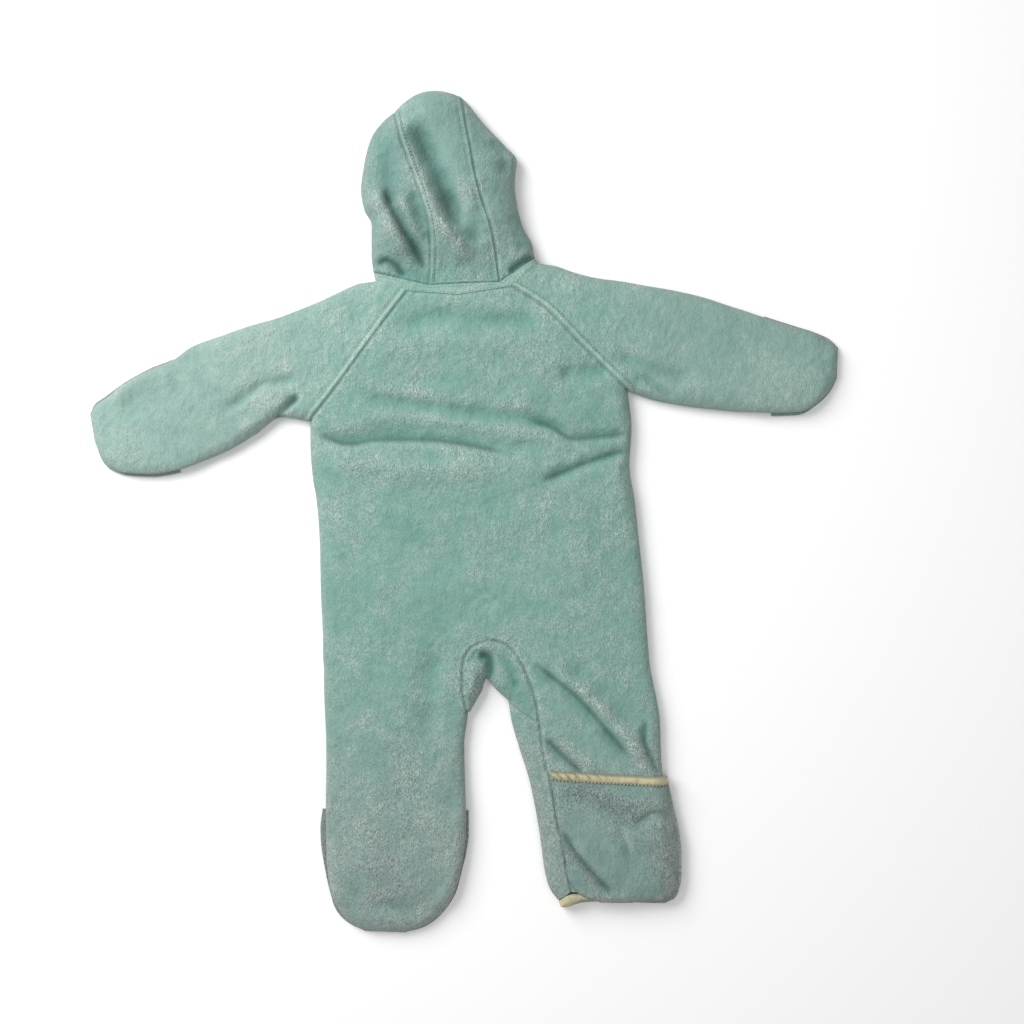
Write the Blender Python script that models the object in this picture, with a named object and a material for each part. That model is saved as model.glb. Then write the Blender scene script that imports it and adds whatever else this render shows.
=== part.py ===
"""Baby's hooded fleece bunting suit with fold-over mitts and foot pouches, laid face down on a table.

Blender units are metres and +Z is up. The suit lies flat with its hood towards +Y and its back uppermost,
so its left side is towards -X. The tables hold real millimetres: each row is one section across a panel,
from the panel's edge a to its edge b. A panel is lofted through its rows, raised to the height of the
laid-out suit at each point, and given the thickness of the fleece towards the inside.
"""

import math
from collections import namedtuple

import bmesh
import bpy
import numpy as np
from mathutils import Matrix, Vector

NAME = "fleece_bunting_suit"
MM = 0.001

# Cloth, in millimetres
WALL = 3.0
SEAM_GAP = 0.3
LAYER = WALL + SEAM_GAP
BINDING_WIDTH = 7.0
SIDE_GAP = SEAM_GAP / 2
SEAM_INSET = 0.4

# Heights of the laid-out suit, in millimetres
EDGE_HEIGHT = 7.0
EDGE_RADIUS = 7.0
LEG_CROWN = 18.0
BODY_RISE = 4.5
BODY_CENTRE = (5.0, 90.0)
BODY_REACH = (120.0, 170.0)
HOOD_RISE = 19.0
HOOD_START, HOOD_RAMP = 222.0, 62.0
ARM_FALL = 3.5
ARM_START, ARM_RAMP = 170.0, 150.0
SHOULDER_SHARE = 0.72
SLOW_RISE = 45.0

# Zip down the centre front
ZIP_X = -7.5
ZIP_FOOT = -50.0
ZIP_SLOT = 9.0
ZIP_LIFT = 2.2
ZIP_FLAT, ZIP_RAMP = 13.0, 24.0
TAPE_WIDTH, TAPE_THICK = 24.0, 0.8
TEETH_WIDTH, TEETH_THICK = 5.6, 1.1
SLIDER_SIZE = (7.6, 12.0, 0.8)
SLIDER_Y = 180.0
HINGE_Z = 1.6
PIN_RADIUS = 0.5
EYE_RADIUS, EYE_HOLE = 1.2, 0.6
LUG_THICK = 0.9
PULL_LENGTH, PULL_WIDTH, PULL_THICK = 24.0, 5.6, 1.2

Row = namedtuple("Row", "ax ay bx by")
Pouch = namedtuple("Pouch", "x y dx dy hem half_width")
Fold = namedtuple("Fold", "height width points")
Loft = namedtuple("Loft", "a b places side edge_a edge_b inner ends bow")

# Left half of the back. a: raglan seam, side seam, outer leg. b: centre back, gusset seam, inner leg.
BACK_LEFT = [Row(*row) for row in (
    (-54, 209, -7, 205),
    (-76, 180, -4, 178),
    (-98, 150, -1, 146),
    (-122, 117, 2, 114),
    (-147, 86, 5, 87),
    (-147, 64, 6, 63),
    (-145, 35, 8, 35),
    (-141, 10, 10, 10),
    (-138, -31, 13, -31),
    (-137, -76, 18, -76),
    (-135, -122, 23, -120),
    (-135, -136, 6, -128),
    (-134, -152, -2, -144),
    (-134, -169, -3, -167),
    (-133, -194, 2, -194),
    (-132, -221, -1, -221),
    (-132, -259, 0, -262),
    (-132, -293, 1, -297),
    (-131, -331, -2, -329),
    (-127, -362, -11, -363),
    (-118, -382, -25, -384),
    (-105, -394, -42, -395),
    (-90, -399, -60, -400),
)]

# Right half of the back. a: centre back, gusset seam, inseam. b: raglan seam, side seam, outer leg.
BACK_RIGHT = [Row(*row) for row in (
    (-7, 205, 44, 213),
    (-4, 178, 74, 194),
    (-1, 146, 103, 165),
    (2, 114, 129, 139),
    (5, 87, 154, 115),
    (6, 63, 158, 80),
    (8, 35, 156, 44),
    (10, 10, 161, 11),
    (13, -31, 165, -27),
    (18, -76, 170, -74),
    (23, -120, 173, -119),
    (39, -125, 174, -131),
    (52, -140, 175, -143),
    (61, -160, 178, -160),
    (67, -179, 182, -179),
    (70, -199, 185, -200),
    (75, -233, 186, -231),
    (81, -255, 188, -255),
    (89, -301, 193, -301),
    (97, -340, 193, -340),
    (100, -359, 190, -360),
)]
UNDERARM, CROTCH, LEFT_TIP, RIGHT_EDGE, RIGHT_TIP = 4, 10, 14, 14, 15

# Inner outline of the right leg, in step with the last rows of BACK_RIGHT from RIGHT_EDGE on.
INNER_RIGHT = ((41, -179), (44, -198), (52, -226), (61, -255), (70, -301), (76, -343), (82, -362))

# Free edge of the gusset, from its left tip over the crotch to its right tip.
GUSSET_FREE = (
    (2, -194), (10, -180), (16, -169), (18, -162), (20, -158),
    (24, -162), (30, -169), (41, -179), (54, -188), (65, -195.6),
)
GUSSET_APEX, GUSSET_OUTLINE = 4, 7

# Sleeves. a: the fold along the top of the arm. b: raglan seam, then underarm seam.
SLEEVE_LEFT = [Row(*row) for row in (
    (-85, 219, -54, 209),
    (-100, 217, -76, 180),
    (-117, 210, -98, 150),
    (-138, 200, -122, 117),
    (-158, 192, -147, 86),
    (-179, 184, -174, 90),
    (-204, 177, -199, 74),
    (-230, 168, -222, 60),
    (-257, 158, -247, 49),
    (-279, 143, -272, 40),
    (-299, 135, -298, 36),
    (-323, 122, -321, 37),
    (-341, 109, -337, 42),
    (-353, 100, -346, 51),
    (-357, 91, -353, 68),
)]
SLEEVE_RIGHT = [Row(*row) for row in (
    (69, 236, 44, 213),
    (84, 234, 74, 194),
    (105, 227, 103, 165),
    (126, 222, 129, 139),
    (149, 219, 154, 115),
    (171, 215, 176, 107),
    (195, 211, 200, 102),
    (222, 205, 230, 98),
    (253, 195, 262, 95),
    (285, 184, 292, 94),
    (313, 175, 317, 95),
    (332, 169, 334, 104),
    (347, 162, 348, 118),
    (355, 154, 354, 130),
)]
CUFF, MITT_EDGE = 11, 9.0

# Hood sides. a: outline. b: seam to the centre strip. The last row is where the seam meets the outline.
HOOD_LEFT = [Row(*row) for row in (
    (-87, 227, -33, 218),
    (-89, 245, -32, 248),
    (-89, 272, -34, 271),
    (-96, 287, -38, 286),
    (-99, 306, -44, 305),
    (-96, 330, -52, 328),
    (-89, 355, -60, 351),
    (-77, 371, -64, 366),
    (-70, 377, -66, 374),
    (-67, 379, -67, 379),
)]
HOOD_RIGHT = [Row(*row) for row in (
    (66, 241, 34, 221),
    (63, 255, 29, 246),
    (55, 270, 24, 270),
    (49, 293, 16, 294),
    (47, 313, 10, 317),
    (49, 333, 6, 340),
    (38, 347, 2, 360),
    (18, 368, -1, 378),
    (2, 388, -3, 389),
    (-3, 393, -3, 393),
)]
CROWN_BOW = (0, 0, 0, 0, 1, 3, 7, 10, 12, 13)
HOOD_TIP = 8.5

# Face opening on the table side, in step with the hood sides' rows, and the centre strip's turn-under.
OPENING_LEFT = (
    (-16, 200), (-31, 223), (-46, 251), (-53, 273), (-59, 296),
    (-61, 320), (-59, 337), (-56, 346), (-53, 351), (-51, 354),
)
OPENING_RIGHT = (
    (1, 200), (12, 225), (22, 251), (25, 276), (24, 300),
    (20, 325), (13, 344), (3, 357), (-3, 363), (-6, 365),
)

# Neck: the band's two edges, on the back and down the front to the zip.
NECK_LOWER = ((-85, 219), (-54, 209), (-7, 205), (44, 213), (69, 236))
NECK_UPPER = ((-86.8, 226.4), (-33, 218), (34, 221), (66.2, 240.4))
FRONT_NECK_LOW, FRONT_NECK_HIGH = 184.0, 194.0
FRONT_RAGLAN_X = {"left": -69.0, "right": 55.0}

# Front edges by the zip: place along the panel's rows, distance from the zip's centre line, y.
ZIP_END_PLACE, SEAM_START_PLACE, FRONT_APEX_PLACE = 8.3, 8.8, 10.4
FRONT_SEAM_TOP = -62.0
FRONT_APEX = (12.0, -128.0)
BESIDE_GUSSET = (29.7, -157.3)
POUCH_ROW = 16.42

# The left foot pouch lies on the table, the right one on the back of the leg.
POUCH_LEFT = [Row(*row) for row in (
    (-136, -283, 3, -285),
    (-138, -302, 3, -306),
    (-137, -319, 1, -323),
    (-134, -338, -3, -340),
    (-129, -361, -9, -362),
    (-123, -379, -22, -382),
    (-110, -392, -39, -395),
    (-95, -399, -58, -400.5),
)]
POUCH_RIGHT = [Row(*row) for row in (
    (82, -256, 194, -262),
    (85, -279, 198, -281),
    (89, -301, 203, -304),
    (94, -321, 205, -324),
    (97, -343, 205, -343),
    (102, -357, 203, -359),
    (110, -368, 197, -370),
)]
POUCH_RIM = 3.6
LEG_ALLOWANCE, LEG_CLEARANCE = 2.5, 0.4
HEM_RIGHT = ((190, -361), (187, -368), (112, -372), (94, -376), (87, -370), (82.8, -363.4))

POUCHES = (
    Pouch(-275.5, 91.5, -0.998, -0.068, 48.0, 80.0),
    Pouch(288.5, 139.0, 0.997, 0.078, 42.0, 80.0),
    Pouch(-66.0, -284.0, 0.0, -1.0, 78.0, 90.0),
)
LIFT_START, LIFT_END = -32.0, -14.0
HEM_RAMP = 16.0
POUCH_SHARE = 0.7

# Folds of the laid-out suit: a trough has a negative height, a ridge a positive one.
FOLDS = (
    Fold(-3.0, 12, ((-60, 177), (-18, 185), (13, 180), (66, 180))),
    Fold(2.5, 14, ((-88, 153), (-14, 159), (81, 159))),
    Fold(-2.5, 12, ((134, 134), (91, 129))),
    Fold(-5.0, 9, ((-98, 110), (-54, 101), (2, 94), (69, 85), (102, 70), (150, 74))),
    Fold(-6.0, 9, ((-138, 80), (-110, 64), (-70, 70), (-10, 66), (42, 54), (71, 52))),
    Fold(4.0, 12, ((-120, 51), (-88, 45), (-54, 40), (2, 42), (35, 27))),
    Fold(-4.5, 10, ((145, 56), (125, 50), (87, 35), (69, 28))),
    Fold(-3.0, 12, ((-230, 97), (-191, 122), (-168, 129))),
    Fold(-3.0, 11, ((139, 150), (183, 133), (217, 124))),
    Fold(-11.0, 11, ((-43, 362), (-28, 338), (-16, 315), (-7, 284))),
    Fold(4.0, 12, ((-30, 318), (-12, 282), (8, 246))),
    Fold(-9.0, 9, ((-80, 340), (-72, 305), (-58, 276), (-48, 252))),
    Fold(-4.0, 11, ((84, -160), (97, -168), (123, -198), (147, -228), (160, -250))),
    Fold(2.5, 11, ((95, -155), (112, -172), (140, -203), (160, -230))),
    Fold(-2.5, 12, ((-19, -126), (-34, -162), (-35, -215))),
)

FLEECE = ("plush_fleece", (0.235, 0.402, 0.352), 0.95)
CREAM = ("knit_binding", (0.605, 0.546, 0.376), 0.85)
TAPE = ("woven_zip_tape", (0.235, 0.402, 0.352), 0.7)
ENAMEL = ("enamelled_zinc", (0.605, 0.546, 0.376), 0.4)


def monotone(points, places):
    """Smooth curve through points at places 0, 1, 2 ... that never overshoots them, read at `places`."""
    steps = np.diff(points, axis=0)
    slopes = np.zeros_like(points)
    slopes[0], slopes[-1] = steps[0], steps[-1]
    before, after = steps[:-1], steps[1:]
    same = before * after > 0
    total = np.where(same, before + after, 1.0)
    slopes[1:-1] = np.where(same, 2 * before * after / total, 0.0)
    index = np.clip(places.astype(int), 0, len(steps) - 1)
    u = (places - index)[:, None]
    p, q = points[index], points[index + 1]
    m, n = slopes[index], slopes[index + 1]
    return (
        p * (2 * u**3 - 3 * u**2 + 1)
        + m * (u**3 - 2 * u**2 + u)
        + q * (3 * u**2 - 2 * u**3)
        + n * (u**3 - u**2)
    )


def rail(points, corners=()):
    """An edge through these points, as a function of the place, counted in points, sharp at the corners."""
    points = np.array(points, float)
    breaks = [0, *corners, len(points) - 1]

    def at(places):
        places = np.clip(np.asarray(places, float), 0, len(points) - 1)
        found = np.empty((len(places), 2))
        for first, last in zip(breaks, breaks[1:]):
            here = (places >= first) & (places <= last)
            found[here] = monotone(points[first : last + 1], places[here] - first)
        return found

    return at


def polyline(stops):
    """A straight-sided edge: stops are (place, x, y)."""
    place, x, y = np.array(stops, float).T
    return lambda places: np.stack([np.interp(places, place, x), np.interp(places, place, y)], axis=-1)


def joined(first, second, change):
    """The first edge up to the place `change`, and the second after it."""

    def at(places):
        places = np.asarray(places, float)
        return np.where(places[:, None] <= change, first(places), second(places))

    return at


def edge_a(rows, corners=()):
    return rail([(row.ax, row.ay) for row in rows], corners)


def edge_b(rows, corners=()):
    return rail([(row.bx, row.by) for row in rows], corners)


def row_points(start, end, fractions, bow=0.0):
    """Points across one row, bowed sideways in the middle."""
    start, end = np.asarray(start, float), np.asarray(end, float)
    along = end - start
    across = np.array([-along[1], along[0]]) / np.hypot(*along)
    return start + fractions[:, None] * along + (4 * bow * fractions * (1 - fractions))[:, None] * across


SIDE_LEFT = edge_a(BACK_LEFT, (UNDERARM,))
CENTRE_LEFT = edge_b(BACK_LEFT, (CROTCH,))
INSEAM_RIGHT = edge_a(BACK_RIGHT, (CROTCH,))
SIDE_RIGHT = edge_b(BACK_RIGHT, (UNDERARM,))
INNER_EDGE = rail(INNER_RIGHT)
FREE_EDGE = rail(GUSSET_FREE, (GUSSET_OUTLINE,))
ARM_LEFT, UNDER_LEFT = edge_a(SLEEVE_LEFT), edge_b(SLEEVE_LEFT, (UNDERARM,))
ARM_RIGHT, UNDER_RIGHT = edge_a(SLEEVE_RIGHT), edge_b(SLEEVE_RIGHT, (UNDERARM,))
HOOD_EDGE_LEFT, HOOD_SEAM_LEFT = edge_a(HOOD_LEFT), edge_b(HOOD_LEFT)
HOOD_EDGE_RIGHT, HOOD_SEAM_RIGHT = edge_a(HOOD_RIGHT), edge_b(HOOD_RIGHT)


def outline():
    """The suit's outline as a run of points, from the right leg's opening round to its other side."""
    fine = 0.02

    def run(edge, start, end):
        return edge(np.linspace(start, end, int(abs(end - start) / fine) + 2))

    share = np.linspace(0, 1, 60)
    crown = row_points(HOOD_SEAM_LEFT([9.0])[0], HOOD_SEAM_RIGHT([9.0])[0], share, CROWN_BOW[-1])
    return np.concatenate([
        run(INNER_EDGE, 6, 0),
        run(FREE_EDGE, GUSSET_OUTLINE, 0),
        run(CENTRE_LEFT, LEFT_TIP, 22),
        run(SIDE_LEFT, 22, UNDERARM),
        run(UNDER_LEFT, UNDERARM, 14),
        run(ARM_LEFT, 14, 0),
        run(HOOD_EDGE_LEFT, 0, 9),
        crown,
        run(HOOD_EDGE_RIGHT, 9, 0),
        run(ARM_RIGHT, 0, 13),
        run(UNDER_RIGHT, 13, UNDERARM),
        run(SIDE_RIGHT, UNDERARM, 20),
    ])


def distance_to(points, run, closed):
    """Distance from each point to a run of straight segments."""
    ends = np.roll(run, -1, axis=0) if closed else run[1:]
    starts = run if closed else run[:-1]
    keep = np.hypot(*(ends - starts).T) > 1e-6
    starts, ends = starts[keep], ends[keep]
    step = ends - starts
    length2 = (step**2).sum(axis=1)
    found = np.full(len(points), np.inf)
    for first in range(0, len(points), 400):
        gap = points[first : first + 400, None, :] - starts
        share = np.clip((gap * step).sum(axis=2) / length2, 0, 1)
        away = gap - share[..., None] * step
        found[first : first + 400] = np.sqrt((away**2).sum(axis=2).min(axis=1))
    return found


def inside(points, run):
    """Whether each point lies inside a closed run, by counting the crossings of a ray along +X."""
    starts, ends = run, np.roll(run, -1, axis=0)
    found = np.zeros(len(points), bool)
    for first in range(0, len(points), 400):
        x, y = points[first : first + 400, 0, None], points[first : first + 400, 1, None]
        spans = (starts[:, 1] > y) != (ends[:, 1] > y)
        rise = np.where(ends[:, 1] == starts[:, 1], 1.0, ends[:, 1] - starts[:, 1])
        crossing = starts[:, 0] + (y - starts[:, 1]) * (ends[:, 0] - starts[:, 0]) / rise
        found[first : first + 400] = (spans & (x < crossing)).sum(axis=1) % 2 == 1
    return found


SIDES = outline()
OUTLINE = np.concatenate([SIDES, HEM_RIGHT])


def smooth_step(x):
    x = np.clip(x, 0, 1)
    return x * x * (3 - 2 * x)


def along_pouch(points, pouch):
    """Distance of each point past the pouch's edge towards its toe; far short of it beside the pouch."""
    gap = points - np.array([pouch.x, pouch.y])
    forward = gap @ np.array([pouch.dx, pouch.dy])
    sideways = np.abs(gap @ np.array([-pouch.dy, pouch.dx]))
    return np.where(sideways < pouch.half_width, forward, -1e3)


def lift_by_pouches(points):
    """How far a mitt's or foot pouch's layer raises what lies on it."""
    return np.maximum.reduce([
        LAYER * smooth_step((along_pouch(points, pouch) - LIFT_START) / (LIFT_END - LIFT_START))
        for pouch in POUCHES
    ])


def lift(points):
    """How far the layer next to the table is raised, by the pouches and along the zip."""
    beside = smooth_step(1 - (np.abs(points[:, 0] - ZIP_X) - ZIP_FLAT) / ZIP_RAMP)
    within = smooth_step((points[:, 1] - ZIP_FOOT + ZIP_RAMP) / ZIP_RAMP)
    within = within * smooth_step((FRONT_NECK_HIGH + 2 * ZIP_RAMP - points[:, 1]) / ZIP_RAMP)
    return np.maximum(lift_by_pouches(points), ZIP_LIFT * beside * within)


def seam_height(points):
    """Height of the side seams and folded edges, lower where the back is sewn straight to a pouch."""
    ramps = [smooth_step((along_pouch(points, pouch) - pouch.hem) / HEM_RAMP) for pouch in POUCHES]
    beyond = np.maximum.reduce(ramps)
    return (EDGE_HEIGHT + POUCH_SHARE * lift_by_pouches(points)) * (1 - beyond) + (WALL + SIDE_GAP) * beyond


def crown(points):
    """Height of the suit far from its edges."""
    x, y = points.T
    body = ((x - BODY_CENTRE[0]) / BODY_REACH[0]) ** 2 + ((y - BODY_CENTRE[1]) / BODY_REACH[1]) ** 2
    return (
        LEG_CROWN
        + BODY_RISE * np.exp(-body)
        + HOOD_RISE * smooth_step((y - HOOD_START) / HOOD_RAMP) * (np.abs(x) < 105)
        - ARM_FALL * smooth_step((np.abs(x) - ARM_START) / ARM_RAMP)
    )


def shoulder(depth, radius):
    """Share of the full height at this depth inside an edge: a round shoulder, then a slow rise."""
    near = 1 - np.clip(depth / radius, 0, 1)
    slow = 1 - np.exp(-np.clip(depth, 0, None) / SLOW_RISE)
    return SHOULDER_SHARE * np.sqrt(1 - near**2) + (1 - SHOULDER_SHARE) * slow


def folds(points, depth):
    """Height that the folds add, fading out at the suit's edges."""
    total = np.zeros(len(points))
    for fold in FOLDS:
        away = distance_to(points, np.array(fold.points, float), closed=False)
        total += fold.height * np.exp(-((away / fold.width) ** 2))
    return total * smooth_step(depth / 12)


def upper(points):
    """Height of the outer surface of the layer that faces up."""
    depth = distance_to(points, OUTLINE, closed=True) * np.where(inside(points, OUTLINE), 1, -1)
    seam, top = seam_height(points), crown(points)
    radius = 0.95 * (top - seam) + 2
    return seam + (top - seam) * shoulder(depth, radius) + folds(points, depth)


def lower(points):
    """Height of the outer surface of the layer next to the table: flat, and rounded up at the edges."""
    depth = distance_to(points, SIDES, closed=False)
    near = 1 - np.clip(depth / EDGE_RADIUS, 0, 1)
    base = lift(points)
    return base + (seam_height(points) - base) * (1 - np.sqrt(1 - near**2))


def table(points):
    """Height of the outer surface of a piece that lies flat on the table."""
    return np.zeros(len(points))


POUCH_RUN = np.concatenate([
    np.array([(192, -246)], float),
    edge_b(POUCH_RIGHT)(np.linspace(0, 6, 40)),
    np.array([(110, -368)], float),
])
INNER_RUN = INNER_EDGE(np.linspace(0, 6, 40))


def over_leg(points):
    """Height of the pouch folded up over the back of the right leg, down to its own outer edges."""
    outer = distance_to(points, POUCH_RUN, closed=False)
    depth = np.minimum(outer, distance_to(points, INNER_RUN, closed=False))
    top = crown(points) + LAYER
    own = POUCH_RIM + (top - POUCH_RIM) * shoulder(depth, 14.0)
    leg = np.maximum(upper(points), upper(points - np.array([LEG_ALLOWANCE, 0])))
    return np.maximum(own, leg + LAYER + LEG_CLEARANCE)


HEIGHT = {"upper": upper, "lower": lower, "table": table, "over": over_leg}
FACING = {"upper": 1, "lower": -1, "table": -1, "over": 1}
ROLL = {"upper": (0, 2.2, 9.0), "lower": (0, 2.0, 7.0), "over": (0, 3.5, 8.0, 13.0, 20.0)}
ON_OUTLINE = ("fold", "open")


def loft(a, b, places, side, edge_a, edge_b, inner, ends=("flush", "flush"), bow=None):
    """One part of a panel.

    a and b are edges, places the rows between them and inner the number of columns away from the edges.
    edge_a, edge_b and ends name what each edge is, as one kind or as (kind, last place, kind):
    fold: outline where the cloth goes on to the other side. open: outline with a side seam.
    seam: set back from its neighbour. flush: neither. proud: a little outside the edge.
    """
    return Loft(a, b, np.array(places, float), side, edge_a, edge_b, inner, ends, bow)


def kinds(kind, places):
    if isinstance(kind, str):
        return np.array([kind] * len(places))
    before, change, after = kind
    return np.where(places <= change + 1e-9, before, after)


def plan(part, places, fractions):
    """Plan points of a loft: one row for each place."""
    a, b = part.a(places)[:, None, :], part.b(places)[:, None, :]
    along = b - a
    points = a + fractions[..., None] * along
    if part.bow is not None:
        bow = np.interp(places, np.arange(len(part.bow)), part.bow)[:, None]
        across = np.stack([-along[..., 1], along[..., 0]], axis=-1)
        across /= np.maximum(np.linalg.norm(across, axis=-1, keepdims=True), 1e-9)
        points = points + (4 * bow * fractions * (1 - fractions))[..., None] * across
    return points


def fractions_across(part):
    """Columns of each row, close together where the cloth rolls over at an outline."""
    a, b = part.a(part.places), part.b(part.places)
    width = np.linalg.norm(b - a, axis=1)
    roll = ROLL.get(part.side, (0,))

    def near(edge_kind):
        rolls = np.isin(kinds(edge_kind, part.places), (*ON_OUTLINE, "hang")).any()
        return np.array(roll if rolls else (0,), float)

    head, tail = near(part.edge_a), near(part.edge_b)
    shrink = np.minimum(1, 0.35 * width / max(head[-1], tail[-1], 1e-9))[:, None]
    head = head * shrink / width[:, None]
    tail = 1 - (tail * shrink / width[:, None])[:, ::-1]
    share = np.linspace(0, 1, part.inner + 2)[1:-1]
    middle = head[:, -1:] + share * (tail[:, :1] - head[:, -1:])
    fractions = np.concatenate([head, middle, tail], axis=1)
    for column, edge, kind in ((0, part.a, part.edge_a), (-1, part.b, part.edge_b)):
        sign = 1 if column == 0 else -1
        ahead, behind = edge(part.places + 0.01), edge(part.places - 0.01)
        tangent = (ahead - behind) / np.maximum(np.linalg.norm(ahead - behind, axis=1, keepdims=True), 1e-9)
        row = (b - a) / width[:, None]
        sine = np.abs(tangent[:, 0] * row[:, 1] - tangent[:, 1] * row[:, 0]).clip(0.35, 1)
        for end in (0, -1):
            if part.ends[end] == "fold":
                sine[end] = 0.9
        inset = np.select(
            [kinds(kind, part.places) == "seam", kinds(kind, part.places) == "proud"],
            [SEAM_INSET / sine, -1.2],
            0.0,
        )
        fractions[:, column] += sign * inset / width
    return fractions


def heights(part, points):
    return HEIGHT[part.side](points.reshape(-1, 2)).reshape(points.shape[:2])


def surface(part):
    """Outer points of a loft and the direction out of the cloth at each."""
    places = part.places.copy()
    for end, sign in ((0, 1), (-1, -1)):
        if part.ends[end] == "seam":
            inner_place = places[end] + sign * 0.1
            gap = np.linalg.norm(part.a([inner_place])[0] - part.a([places[end]])[0])
            gap_b = np.linalg.norm(part.b([inner_place])[0] - part.b([places[end]])[0])
            places[end] += sign * 0.1 * 2 * SEAM_GAP / max(min(gap, gap_b), 0.1)
    part = part._replace(places=places)
    fractions = fractions_across(part)
    points = plan(part, places, fractions)
    z = heights(part, points)
    rise = FACING[part.side]
    rims = np.zeros(z.shape, bool)
    for column, kind in ((0, part.edge_a), (-1, part.edge_b)):
        found = kinds(kind, places)
        rims[:, column] = np.isin(found, ON_OUTLINE)
        level = seam_height(points[:, column]) + rise * SIDE_GAP * (found == "open")
        z[:, column] = np.where(rims[:, column], level, z[:, column])
    for end in (0, -1):
        if part.ends[end] in ON_OUTLINE:
            rims[end] = True
            z[end] = seam_height(points[end]) + rise * SIDE_GAP * (part.ends[end] == "open")
    return points, z, outward(part, places, fractions, points, rims)


def outward(part, places, fractions, points, rims):
    """Unit directions out of the cloth: level at the outline, else square to the surface."""
    rise = FACING[part.side]
    small = 0.004
    width = np.linalg.norm(part.b(places) - part.a(places), axis=1)[:, None]
    step = 0.05 / width
    low, high = fractions - step, fractions + step
    top = max(places[-1], places[0])
    early, late = np.clip(places - small, 0, top), np.clip(places + small, 0, top)
    ends = []
    for at, across in ((places, low), (places, high), (early, fractions), (late, fractions)):
        flat = plan(part, at, across)
        ends.append(np.concatenate([flat, heights(part, flat)[..., None]], axis=-1))
    out = np.cross(ends[1] - ends[0], ends[3] - ends[2])
    out /= np.maximum(np.linalg.norm(out, axis=-1, keepdims=True), 1e-12)
    out *= np.where(out[..., 2:] * rise < 0, -1, 1)
    centre = points.mean(axis=1, keepdims=True)
    down = np.gradient(points, axis=0)
    side = np.gradient(points, axis=1)
    for column in (0, -1):
        level = np.stack([down[:, column, 1], -down[:, column, 0]], axis=-1)
        level *= np.sign((level * (points[:, column] - centre[:, 0])).sum(axis=-1, keepdims=True))
        level /= np.maximum(np.linalg.norm(level, axis=-1, keepdims=True), 1e-9)
        flat = np.concatenate([level, np.zeros((len(level), 1))], axis=-1)
        out[:, column] = np.where(rims[:, column, None], flat, out[:, column])
    for end, inner_row in ((0, 1), (-1, -2)):
        if part.ends[end] in ON_OUTLINE:
            level = np.stack([side[end, :, 1], -side[end, :, 0]], axis=-1)
            level *= np.sign((level * (points[end] - points[inner_row])).sum(axis=-1, keepdims=True))
            level /= np.maximum(np.linalg.norm(level, axis=-1, keepdims=True), 1e-9)
            out[end] = np.concatenate([level, np.zeros((len(level), 1))], axis=-1)
    return out


def new_object(name, mesh, material):
    obj = bpy.data.objects.new(name, mesh)
    mesh.materials.append(material)
    COLLECTION.objects.link(obj)
    return obj


def cloth(name, lofts, material):
    """A panel of cloth: grids laid on the lofts, sewn into one sheet and given the fleece's thickness."""
    bm = bmesh.new()
    out_layer = bm.verts.layers.float_vector.new("out")
    for part in lofts:
        points, z, out = surface(part)
        rows, columns = z.shape
        grid = bmesh.ops.create_grid(bm, x_segments=columns - 1, y_segments=rows - 1, size=1)
        verts = sorted(grid["verts"], key=lambda v: (round(v.co.y, 4), round(v.co.x, 4)))
        for index, vert in enumerate(verts):
            row, column = divmod(index, columns)
            vert.co = (*(points[row, column] * MM), z[row, column] * MM)
            vert[out_layer] = out[row, column]
    bmesh.ops.remove_doubles(bm, verts=bm.verts, dist=0.00002)
    made = bmesh.ops.extrude_face_region(bm, geom=bm.faces[:], use_keep_orig=True)
    for element in made["geom"]:
        if isinstance(element, bmesh.types.BMVert):
            element.co -= element[out_layer] * WALL * MM
    bmesh.ops.recalc_face_normals(bm, faces=bm.faces)
    if bm.calc_volume(signed=True) < 0:
        bmesh.ops.reverse_faces(bm, faces=bm.faces)
    mesh = bpy.data.meshes.new(name)
    bm.to_mesh(mesh)
    bm.free()
    mesh.set_sharp_from_angle(angle=math.radians(50))
    return new_object(name, mesh, material)


def material(name, colour, roughness):
    made = bpy.data.materials.new(name)
    made.use_nodes = True
    shader = made.node_tree.nodes["Principled BSDF"]
    shader.inputs["Base Color"].default_value = (*colour, 1)
    shader.inputs["Roughness"].default_value = roughness
    return made


def halves(first, last, step=0.5):
    return np.arange(first, last + step / 2, step)


def build_back(fleece):
    """Centre back with both leg backs: two halves that meet on the centre back line."""
    body = halves(0, LEFT_TIP)
    left = loft(SIDE_LEFT, CENTRE_LEFT, [*body, 15, 16, POUCH_ROW, 17, 18, 19, *halves(19.5, 22)], "upper",
                ("flush", UNDERARM - 0.1, "open"), ("flush", LEFT_TIP - 0.1, "open"), 4, ("flush", "open"))
    right = loft(INSEAM_RIGHT, SIDE_RIGHT, [*body, *halves(14.5, 16), 17, 18, 19, 19.5, 20], "upper", "flush",
                 ("flush", UNDERARM - 0.1, "open"), 4)
    cloth("back_panel", [left, right], fleece)


def front_places(gusset_places):
    """Rows of a front: one at each named place, and beside the gusset in step with the gusset's rows."""
    return sorted({*range(0, 10), ZIP_END_PLACE, SEAM_START_PLACE, FRONT_APEX_PLACE, *gusset_places})


def front_raglan(neck, underarm):
    """The straight raglan seam of the front, over the first rows."""
    return polyline(((0, *neck), (UNDERARM, *underarm)))


def neck_front(side):
    """Top of the front's raglan seam, on the band's lower edge."""
    x = FRONT_RAGLAN_X[side]
    start = NECK_LOWER[0] if side == "left" else NECK_LOWER[-1]
    zip_edge = ZIP_X - ZIP_SLOT / 2 if side == "left" else ZIP_X + ZIP_SLOT / 2
    share = (x - start[0]) / (zip_edge - start[0])
    return x, start[1] + share * (FRONT_NECK_LOW - start[1])


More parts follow.
